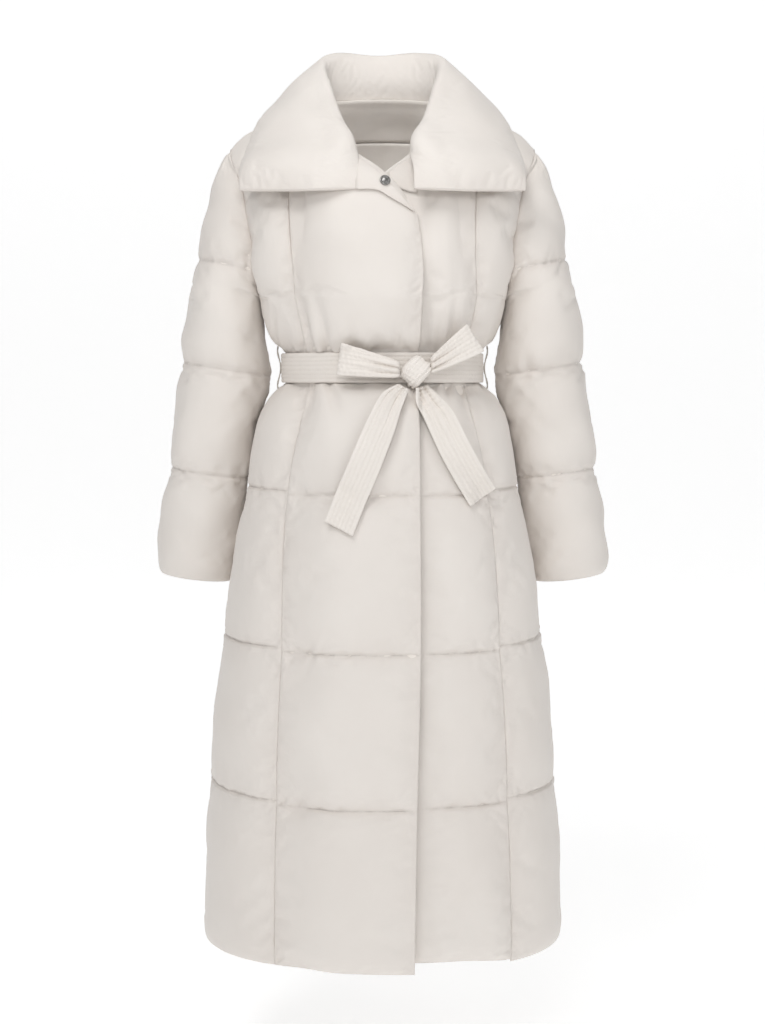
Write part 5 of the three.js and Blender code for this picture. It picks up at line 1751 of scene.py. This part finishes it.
# ---- snaps
@dataclass
class Snap:
    """One half of a press snap: a turned ring or stud with a stepped face."""

    name: str
    radius: float
    height: float
    steps: tuple[tuple[float, float], ...]     # each inset of the face and how far it then moves out

    def build(self, place: Array, way: Array, material: Material) -> Object:
        """Turn the snap from a short cylinder.

        Args:
            place: the middle of its base.
            way: the direction its face looks in.
            material: its metal.

        Returns:
            The new object.
        """
        turned = Vector(way).to_track_quat("Z", "Y")
        middle = Vector(place) * MM + Vector(way) * self.height / 2 * MM
        bpy.ops.object.select_all(action="DESELECT")
        bpy.ops.mesh.primitive_cylinder_add(vertices=56, radius=self.radius * MM, depth=self.height * MM,
                                            location=middle, rotation=turned.to_euler())
        snap = bpy.context.object
        snap.name = f"{self.name}_turned"
        bpy.ops.object.mode_set(mode="EDIT")
        bpy.ops.mesh.select_mode(type="FACE")
        bpy.ops.object.mode_set(mode="OBJECT")
        for face in snap.data.polygons:
            face.select = face.normal.z > 0.9
        bpy.ops.object.mode_set(mode="EDIT")
        for inset, moved in self.steps:
            bpy.ops.mesh.inset(thickness=inset * MM, depth=moved * MM)
        bpy.ops.object.mode_set(mode="OBJECT")
        bevel = snap.modifiers.new("Bevel", "BEVEL")
        bevel.width, bevel.segments, bevel.limit_method = 0.18 * MM, 2, "ANGLE"
        bpy.ops.object.modifier_apply(modifier="Bevel")
        bpy.ops.object.shade_smooth_by_angle(angle=math.radians(40))
        bpy.ops.object.transform_apply(location=True, rotation=True, scale=True)
        snap.data.materials.clear()
        snap.data.materials.append(material)
        return snap


# ---- stitches
@dataclass
class Stitches:
    """Rows of lockstitches, joined into one mesh."""

    pitch: float = 4.0
    length: float = 2.9
    radius: float = 0.27
    sunk: float = 0.12
    rows: list[tuple[Array, Array]] = field(default_factory=list)

    def add(self, face: Array, opposite: Array, row: int, across: bool = False) -> None:
        """Add a row of stitches on a wall's face.

        Args:
            face: the face's grid of points.
            opposite: the other face's grid.
            row: the grid's row it runs along, or its column.
            across: whether the number is a column's.
        """
        out = face - opposite
        self.rows.append((face[:, row], out[:, row]) if across else (face[row], out[row]))

    def build(self, name: str, material: Material) -> Object:
        """Make all the rows as one mesh.

        Args:
            name: the object's name.
            material: the thread.

        Returns:
            The new object.
        """
        places, ways, outs = [], [], []
        for path, out in self.rows:
            lengths = arc_lengths(path[:, None], 0)[:, 0]
            at = np.arange(self.pitch / 2, lengths[-1] - self.pitch / 4, self.pitch)
            places.append(read_along(path, lengths, at))
            outs.append(unit(read_along(out, lengths, at)))
            ways.append(unit(read_along(path, lengths, at + 0.5) - places[-1] + 1e-6))
        place, way, out = (np.concatenate(x) for x in (places, ways, outs))
        side = unit(np.cross(way, out))
        rings = []
        for along, fat in ((-0.5, 0.35), (-0.3, 1.0), (0.3, 1.0), (0.5, 0.35)):
            lift = -self.sunk + 0.12 * (fat - 0.35) - 0.2 * (fat < 0.5)
            middle = place + way * self.length * along + out * lift
            for a in (45, 135, 225, 315):
                turned = side * math.cos(math.radians(a)) + out * math.sin(math.radians(a))
                rings.append(middle + turned * self.radius * fat)
        verts = np.stack(rings, axis=1).reshape(-1, 3)
        shape = [[4 * r + k, 4 * r + (k + 1) % 4, 4 * r + 4 + (k + 1) % 4, 4 * r + 4 + k]
                 for r in range(3) for k in range(4)] + [[3, 2, 1, 0], [12, 13, 14, 15]]
        faces = (np.array(shape)[None] + 16 * np.arange(len(place))[:, None, None]).reshape(-1, 4)
        return mesh_object(name, verts, facing_out(verts, faces).tolist(), material)


# ---- finishes
class Nodes:
    """A node tree, with short ways to add and join its nodes."""

    def __init__(self, tree: bpy.types.NodeTree) -> None:
        """Take a tree to build in."""
        self.tree = tree

    def add(self, kind: str, inputs: dict[str | int, object] | None = None, **settings: object) -> bpy.types.Node:
        """Add a node.

        Args:
            kind: its type.
            inputs: values or sockets for its inputs, by name or number.
            settings: its other settings.

        Returns:
            The node.
        """
        node = self.tree.nodes.new(kind)
        for name, value in settings.items():
            setattr(node, name, value)
        for name, value in (inputs or {}).items():
            if isinstance(value, Socket):
                self.tree.links.new(value, node.inputs[name])
            else:
                node.inputs[name].default_value = value
        return node

    def join(self, source: Socket, target: Socket) -> None:
        """Join an output to an input."""
        self.tree.links.new(source, target)

    def blend(self, share: Socket, low: Rgb | Socket, high: Rgb | Socket) -> Socket:
        """Blend two colours.

        Args:
            share: how much there is of the second.
            low: the first colour.
            high: the second.

        Returns:
            The blend.
        """
        node = self.add("ShaderNodeMix", {"Factor": share}, data_type="RGBA")
        for target, value in zip([i for i in node.inputs if i.type == "RGBA"], (low, high)):
            if isinstance(value, Socket):
                self.join(value, target)
            else:
                target.default_value = (*value, 1)
        return next(o for o in node.outputs if o.type == "RGBA")

    def maths(self, operation: str, *values: object) -> Socket:
        """Add a sum of one to three values or sockets and give its result."""
        return self.add("ShaderNodeMath", dict(enumerate(values)), operation=operation).outputs[0]


class Finish(Nodes):
    """A new material's nodes, with the material and its shader."""

    def __init__(self, name: str) -> None:
        """Start a material."""
        self.material = bpy.data.materials.new(name)
        self.material.use_nodes = True
        super().__init__(self.material.node_tree)
        self.shader = self.tree.nodes["Principled BSDF"]

    def set(self, **values: object) -> None:
        """Set some of the shader's inputs, each by its name with lines for spaces."""
        for name, value in values.items():
            target = self.shader.inputs[name.replace("_", " ")]
            if isinstance(value, Socket):
                self.join(value, target)
            else:
                target.default_value = value

    def bump(self, height: Socket, depth: float, strength: float = 1.0) -> Socket:
        """Raise the surface by a height in units of a depth in metres, and give its way out."""
        return self.add("ShaderNodeBump", {"Height": height, "Distance": depth, "Strength": strength}).outputs[0]


def socket(group: bpy.types.NodeTree, name: str, kind: str, is_input: bool, value: object = None) -> None:
    """Give a node group one input or output."""
    made = group.interface.new_socket(name=name, in_out="INPUT" if is_input else "OUTPUT", socket_type=kind)
    if value is not None:
        made.default_value = value


def cloth_group() -> bpy.types.NodeTree:
    """Build the group for woven cloth: its weave, fine crinkles, slight unevenness of colour, and painted shade that
    darkens the colour near seams.
    """
    group = bpy.data.node_groups.new("woven_cloth", "ShaderNodeTree")
    # Shade is the darker colour: random unevenness of tone, and painted shade near seams
    for name, kind, value in (("Cloth", "NodeSocketVector", None), ("Place", "NodeSocketVector", None),
                              ("Near Seam", "NodeSocketFloat", 0.0), ("Colour", "NodeSocketColor", None),
                              ("Shade", "NodeSocketColor", None), ("Threads", "NodeSocketFloat", 2200.0),
                              ("Weave", "NodeSocketFloat", 0.02), ("Crinkle", "NodeSocketFloat", 0.3),
                              ("Rough", "NodeSocketFloat", 0.6)):
        socket(group, name, kind, True, value)
    for name, kind in (("Color", "NodeSocketColor"), ("Roughness", "NodeSocketFloat"), ("Height", "NodeSocketFloat")):
        socket(group, name, kind, False)
    n = Nodes(group)
    given = n.add("NodeGroupInput").outputs
    thread = n.add("ShaderNodeSeparateXYZ", {0: n.add("ShaderNodeVectorMath", {0: given["Cloth"], 3: given["Threads"]},
                                                      operation="SCALE").outputs[0]}).outputs
    warp = n.maths("SINE", n.maths("MULTIPLY", thread[0], 2 * math.pi))
    weft = n.maths("SINE", n.maths("MULTIPLY", thread[1], 2 * math.pi))
    weave = n.maths("MULTIPLY", n.maths("MULTIPLY", warp, weft), given["Weave"])

    def noise(scale: float, detail: float, rough: float, twist: float) -> Socket:
        """Add noise in space and give it."""
        node = n.add("ShaderNodeTexNoise", {"Vector": given["Place"], "Scale": scale, "Detail": detail,
                                            "Roughness": rough, "Distortion": twist})
        return node.outputs[0]

    ridge = n.maths("ABSOLUTE", n.maths("MULTIPLY_ADD", noise(48, 3, 0.55, 0.6), 2.0, -1.0))
    crease = n.maths("SUBTRACT", 1.0, ridge)
    fine = noise(210, 3, 0.6, 0.3)
    amount = n.maths("MULTIPLY_ADD", given["Near Seam"], 1.4, 0.35)
    crinkle = n.maths("MULTIPLY", n.maths("MULTIPLY", n.maths("MULTIPLY_ADD", fine, 0.35, crease), given["Crinkle"]),
                      amount)
    cloud = n.maths("MULTIPLY_ADD", noise(9, 4, 0.6, 0.0), 1.6, -0.3)
    # painted shade: near seams the colour is blended towards Shade; the slow cloud adds random unevenness of tone
    seam_shade_and_tone = n.maths("MULTIPLY_ADD", given["Near Seam"], 0.35, n.maths("MULTIPLY", cloud, 0.5))
    colour = n.blend(n.maths("MINIMUM", n.maths("MAXIMUM", seam_shade_and_tone, 0.0), 1.0), given["Colour"], given["Shade"])
    rough = n.maths("ADD", given["Rough"], n.maths("MULTIPLY_ADD", fine, 0.12, -0.06))
    n.add("NodeGroupOutput", {"Color": colour, "Roughness": rough, "Height": n.maths("ADD", weave, crinkle)})
    return group


@dataclass(frozen=True)
class ClothFinish:
    """The finish of one cloth."""

    name: str
    colour: Rgb
    # the darker colour: random unevenness of tone, and painted shade near seams
    shade: Rgb
    rough: float = 0.62
    sheen: float = 0.12
    specular: float = 0.35
    threads: float = 2400.0        # to the metre
    weave: float = 0.02            # how high they stand, in millimetres
    crinkle: float = 0.32

    def build(self, group: bpy.types.NodeTree) -> Material:
        """Make the material.

        Args:
            group: the group for woven cloth.

        Returns:
            The material.
        """
        n = Finish(self.name)
        woven = n.add("ShaderNodeGroup", node_tree=group)
        given = {"Cloth": n.add("ShaderNodeUVMap", uv_map="cloth").outputs[0],
                 "Place": n.add("ShaderNodeTexCoord").outputs["Object"],
                 "Near Seam": n.add("ShaderNodeAttribute", attribute_name="near_seam").outputs["Fac"]}
        for name, value in given.items():
            n.join(value, woven.inputs[name])
        for name, value in (("Colour", (*self.colour, 1)), ("Shade", (*self.shade, 1)), ("Threads", self.threads),
                            ("Weave", self.weave), ("Crinkle", self.crinkle), ("Rough", self.rough)):
            woven.inputs[name].default_value = value
        n.set(Base_Color=woven.outputs["Color"], Roughness=woven.outputs["Roughness"],
              Normal=n.bump(woven.outputs["Height"], MM), Sheen_Weight=self.sheen, Sheen_Roughness=0.45,
              Specular_IOR_Level=self.specular)
        return n.material


@dataclass(frozen=True)
class ThreadFinish:
    """The finish of sewing thread, with the twist of its plies."""

    name: str
    colour: Rgb
    twist: float = 900.0

    def build(self) -> Material:
        """Make the material."""
        n = Finish(self.name)
        place = n.add("ShaderNodeTexCoord").outputs["Object"]
        bands = n.add("ShaderNodeTexWave", {"Vector": place, "Scale": self.twist, "Distortion": 1.5,
                                            "Detail": 2.0}, bands_direction="DIAGONAL").outputs[1]
        cloud = n.add("ShaderNodeTexNoise", {"Vector": place, "Scale": 140.0, "Detail": 2.0}).outputs[0]
        n.set(Base_Color=n.blend(cloud, tuple(0.86 * c for c in self.colour), self.colour),
              Normal=n.bump(bands, 0.05 * MM), Roughness=n.maths("MULTIPLY_ADD", cloud, 0.2, 0.55), Sheen_Weight=0.2)
        return n.material


@dataclass(frozen=True)
class MetalFinish:
    """The finish of the snaps: dark plated metal, a little worn and brushed."""

    name: str
    colour: Rgb
    rough: float = 0.32

    def build(self) -> Material:
        """Make the material."""
        n = Finish(self.name)
        place = n.add("ShaderNodeTexCoord").outputs["Object"]
        wear = n.add("ShaderNodeTexNoise", {"Vector": place, "Scale": 900.0, "Detail": 4.0,
                                            "Roughness": 0.7}).outputs[0]
        n.set(Base_Color=n.blend(wear, self.colour, tuple(min(1.0, 1.7 * c) for c in self.colour)),
              Roughness=n.maths("MULTIPLY_ADD", wear, 0.25, self.rough - 0.12),
              Normal=n.bump(wear, 0.02 * MM, 0.5), Metallic=1.0)
        return n.material


# ---- studio
@dataclass
class Studio:
    """The camera, the pale floor that sweeps up behind, and the soft lights. Sizes are in metres."""

    camera_at: tuple[float, float, float] = (0.0, -2.2, -0.35)
    camera_down: float = 5.09
    lens: float = 56.85
    floor_below: float = 0.22
    floor_size: float = 14.0
    sky: float = 0.36
    lights: tuple = (
        ("key", (-0.75, -1.7, 1.75), (0, 0, -0.35), 1.1, 22.5),
        ("front", (0.0, -2.1, 0.25), (0, 0, 0.0), 0.5, 7.5),
        ("fill", (1.9, -1.9, 0.5), (0, 0, -0.6), 1.8, 9.0),
        ("neck", (0.0, -0.35, 0.5), (0, 0.08, -0.05), 0.3, 0.95),
    )

    def camera(self) -> None:
        """Place the camera at the angle the coat is seen from."""
        data = bpy.data.cameras.new("camera")
        data.lens, data.sensor_width = self.lens, 36.0
        data.clip_start, data.clip_end = 0.01, 100.0
        camera = bpy.data.objects.new("camera", data)
        camera.location = self.camera_at
        camera.rotation_euler = (math.radians(90 - self.camera_down), 0, 0)
        bpy.context.scene.collection.objects.link(camera)
        bpy.context.scene.camera = camera

    def floor(self, lowest: float) -> None:
        """Lay the floor below the coat and sweep it up behind.

        Args:
            lowest: the height of the coat's lowest point.
        """
        bpy.ops.object.select_all(action="DESELECT")
        bpy.ops.mesh.primitive_plane_add(size=self.floor_size, location=(0, 0, lowest - self.floor_below))
        floor = bpy.context.object
        floor.name = "floor"
        bpy.ops.object.mode_set(mode="EDIT")
        bpy.ops.mesh.select_mode(type="EDGE")
        bpy.ops.mesh.select_all(action="DESELECT")
        bpy.ops.object.mode_set(mode="OBJECT")
        half = self.floor_size / 2
        for edge in floor.data.edges:
            edge.select = all(floor.data.vertices[v].co.y > half - 0.01 for v in edge.vertices)
        bpy.ops.object.mode_set(mode="EDIT")
        bpy.ops.mesh.extrude_region_move(TRANSFORM_OT_translate={"value": (0, 0, 8.0)})
        bpy.ops.object.mode_set(mode="OBJECT")
        sweep = floor.modifiers.new("Bevel", "BEVEL")
        sweep.width, sweep.segments, sweep.limit_method = 3.0, 24, "ANGLE"
        bpy.ops.object.modifier_apply(modifier="Bevel")
        bpy.ops.object.shade_smooth()
        bpy.ops.object.transform_apply(location=True, rotation=True, scale=True)
        pale = Finish("pale_floor")
        pale.set(Base_Color=(0.9, 0.9, 0.9, 1), Roughness=0.9, Emission_Color=(1, 1, 1, 1), Emission_Strength=0.5)
        floor.data.materials.append(pale.material)
        floor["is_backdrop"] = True

    def light(self) -> None:
        """Set the sky's soft light and the lamps."""
        scene = bpy.context.scene
        scene.view_settings.view_transform = "Standard"
        world = bpy.data.worlds.new("studio")
        world.use_nodes = True
        n = Nodes(world.node_tree)
        seen = n.add("ShaderNodeLightPath").outputs["Is Camera Ray"]
        back = world.node_tree.nodes["Background"]
        back.inputs["Color"].default_value = (1, 1, 1, 1)
        world.node_tree.links.new(n.maths("MULTIPLY_ADD", seen, 1.0 - self.sky, self.sky), back.inputs["Strength"])
        scene.world = world
        for name, place, aim, size, watts in self.lights:
            data = bpy.data.lights.new(name, "AREA")
            data.shape, data.size, data.energy = "DISK", size, watts
            lamp = bpy.data.objects.new(name, data)
            lamp.location = place
            lamp.visible_camera = False
            lamp.rotation_euler = (Vector(aim) - Vector(place)).to_track_quat("-Z", "Y").to_euler()
            scene.collection.objects.link(lamp)


# ---- putting the coat together
SHELL = ClothFinish("shell_cloth", (0.785, 0.742, 0.698), (0.70, 0.645, 0.60))
LINING = ClothFinish("lining_cloth", (0.93, 0.885, 0.835), (0.84, 0.78, 0.72), rough=0.45, sheen=0.05,
                     specular=0.5, threads=3200.0, weave=0.008, crinkle=0.22)
BELT_CLOTH = ClothFinish("belt_cloth", (0.86, 0.818, 0.775), (0.73, 0.675, 0.62), crinkle=0.15)
SEWING_THREAD = ThreadFinish("sewing_thread", (0.74, 0.69, 0.64))
CARRIER_THREAD = ThreadFinish("carrier_thread", (0.60, 0.56, 0.51))
SNAP_METAL = MetalFinish("snap_metal", (0.20, 0.195, 0.19))


def hand_over(piece: Object, slot: str, node: str | None = None) -> None:
    """Let a piece ride on the coat, log its slot, and stand for its solid.

    Args:
        piece: the finished piece.
        slot: the name of the material slot, which is only logged.
        node: the solid it stands for, if it has one of its own.
    """
    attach(piece, "root")
    if node:
        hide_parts(node)
    LOG.info("%s: %d faces, %s", piece.name, len(piece.data.polygons), slot)


def add_sheet(node: str, cloth: Cloth, material: Material, slot: str) -> None:
    """Args:
        node: the solid it stands for.
        cloth: its grid.
        material: its material.
        slot: the name of the material slot, which is only logged.
    """
    piece = cloth.to_object(f"{node}_cloth", [material])
    hand_over(piece, slot, node)


@dataclass
class Coat:
    """The whole coat, sub-assembly by sub-assembly."""

    body: Body = field(default_factory=Body)
    sleeves: Sleeves = field(default_factory=Sleeves)
    collar: Collar = field(default_factory=Collar)
    facings: Facings = field(default_factory=Facings)
    inside: InsideBack = field(default_factory=InsideBack)
    belt: Belt = field(default_factory=Belt)
    carriers: Carriers = field(default_factory=Carriers)
    relief: Relief = field(default_factory=Relief)
    seed: int = 20
    start_share: float = 0.75      # how much of the padding is in before it is blown up
    snap_sunk: float = 0.2
    padded: dict[str, Panel] = field(default_factory=dict)

    def fill(self) -> dict[str, Array]:
        """Lay out every padded piece and blow up its padding.

        Returns:
            The outer face of each, by name.
        """
        self.body.lay_out()
        sleeve, levels = self.sleeves.lay_out()
        self.body.join(sleeve, levels)
        self.padded = {**self.body.panels, "sleeve_left": sleeve, "collar": self.collar.lay_out()}
        inflation = Inflation()
        for name, panel in self.padded.items():
            if name == "collar":
                inflation.add(panel, 0.9, Filling(2.0, 0.006, 7.0))
            else:
                inflation.add(panel, self.start_share, Filling())
        return inflation.run()

    def build(self) -> None:
        """Build and dress every piece."""
        group = cloth_group()
        shell, lining, belt_cloth = (finish.build(group) for finish in (SHELL, LINING, BELT_CLOTH))
        thread, carrier, metal = SEWING_THREAD.build(), CARRIER_THREAD.build(), SNAP_METAL.build()
        settled = self.fill()
        rng = np.random.default_rng(self.seed)
        cloths: dict[str, Cloth] = {}
        for name, panel in self.body.panels.items():
            cloths[name] = body_cloth(panel, settled[name], self.relief, rng)
        for side in Side:
            cloths[f"sleeve_{side.name.lower()}"] = self.sleeves.cloth(
                self.padded["sleeve_left"], settled["sleeve_left"], side, rng)
        cloths["collar"] = self.collar.cloth(self.padded["collar"], settled["collar"], rng)
        for name, cloth in cloths.items():
            piece = cloth.to_object(f"{name}_quilt", [shell, lining] if name != "collar" else [shell])
            hand_over(piece, "shell_fabric", name)

        fronts = [cloths[name].outer for name in cloths if name.startswith("front")]
        over_fronts = FrontFinder(fronts)
        over_left = FrontFinder([cloths["front_left_centre"].outer])
        clear = self.facings.clearance + self.facings.thickness / 2
        facing_right = self.facings.cloth(self.facings.right, over_fronts, clear + 0.8, rng)
        facing_left = self.facings.cloth(self.facings.left, over_left, clear, rng)
        for name, cloth, under in (("front_facing_right", facing_right, "front_right_centre"),
                                   ("front_facing_left", facing_left, "front_left_centre")):
            add_sheet(name, cloth, shell, "shell_fabric")
        for name, cloth in self.inside.cloths(self.body.panels["back_centre"], rng).items():
            add_sheet(name, cloth, lining, "lining_fabric")

        band = self.belt.band(rng)
        finder = FrontFinder([*fronts, band.outer])
        belt = {"belt_band": (band, "stretched", ["front_right_centre", "back_centre"])}
        for form in self.belt.loops:
            belt[form[0]] = (self.belt.loop(form, finder, rng), "folded", ["belt_knot"])
        for name, stations in self.belt.tails:
            belt[name] = (self.belt.tail(stations, finder, rng), "hung", ["belt_knot"])
        knot = closed_round("belt_knot_cloth", self.belt.knot(finder, rng), belt_cloth)
        hand_over(knot, "belt_fabric", "belt_knot")
        for name, (cloth, held, rests_on) in belt.items():
            add_sheet(name, cloth, belt_cloth, "belt_fabric")
        for side in Side:
            hand_over(self.carriers.build(side, carrier), "thread", f"belt_carrier_{side.name.lower()}")
        self.snaps(FrontFinder([facing_right.outer]), over_left, metal)
        self.sew(cloths, {name: cloth for name, (cloth, _, _) in belt.items()}, thread)

    def sew(self, quilts: dict[str, Cloth], ribbons: dict[str, Cloth], thread: Material) -> None:
        """Sew the quilting's rows and the belt's rows.

        Args:
            quilts: the quilted pieces.
            ribbons: the pieces of the belt.
            thread: the thread's material.
        """
        quilting = Stitches(pitch=4.6)
        sleeve = self.padded["sleeve_left"]
        panels = {**self.body.panels, "sleeve_right": sleeve, "sleeve_left": sleeve}
        for name, panel in panels.items():
            for line in panel.lines:
                quilting.add(quilts[name].outer, quilts[name].inner, 2 * line)
        on_belt = Stitches(pitch=4.2, radius=0.24)
        for name, cloth in ribbons.items():
            banded = name == "belt_band"
            count = cloth.outer.shape[0 if banded else 1] - 1
            for place in self.belt.ribbon.row_places():
                at = round((place + 1) / 2 * count)
                on_belt.add(cloth.outer, cloth.inner, at, across=not banded)
        for name, stitches in (("quilting_stitches", quilting), ("belt_stitches", on_belt)):
            hand_over(stitches.build(name, thread), "thread")

    def snaps(self, over_facing: FrontFinder, over_left: FrontFinder, metal: Material) -> None:
        """Build the collar's snap and the placket's stud where their solids lie.

        Args:
            over_facing: finds the right facing, which the snap sits on.
            over_left: finds the left front, which the stud sits on.
            metal: their metal.
        """
        ring = Snap("collar_snap", 6.8, 2.4, ((1.0, 0.5), (1.5, -1.5), (0.5, 0.0), (1.3, 0.7)))
        stud = Snap("placket_snap", 4.5, 1.3, ((0.8, 0.3), (1.1, -0.6), (0.6, 0.5)))
        for snap, finder in ((ring, over_facing), (stud, over_left)):
            low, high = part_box(snap.name)
            x, z = (low.x + high.x) / 2 / MM, (low.z + high.z) / 2 / MM
            place, way = finder.hit(x, z)
            way = np.array(-way if way.y > 0 else way)
            piece = snap.build(np.array(place) - self.snap_sunk * way, way, metal)
            hand_over(piece, "snap_metal", snap.name)


def main() -> None:
    """Load the frame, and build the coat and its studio."""
    logging.basicConfig(level=logging.INFO, format="%(name)s: %(message)s")
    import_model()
    solid_box = [list(corner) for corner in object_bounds()]
    studio = Studio()
    studio.camera()
    Coat().build()
    studio.floor(solid_box[0][2])
    studio.light()


if __name__ == "__main__":
    main()
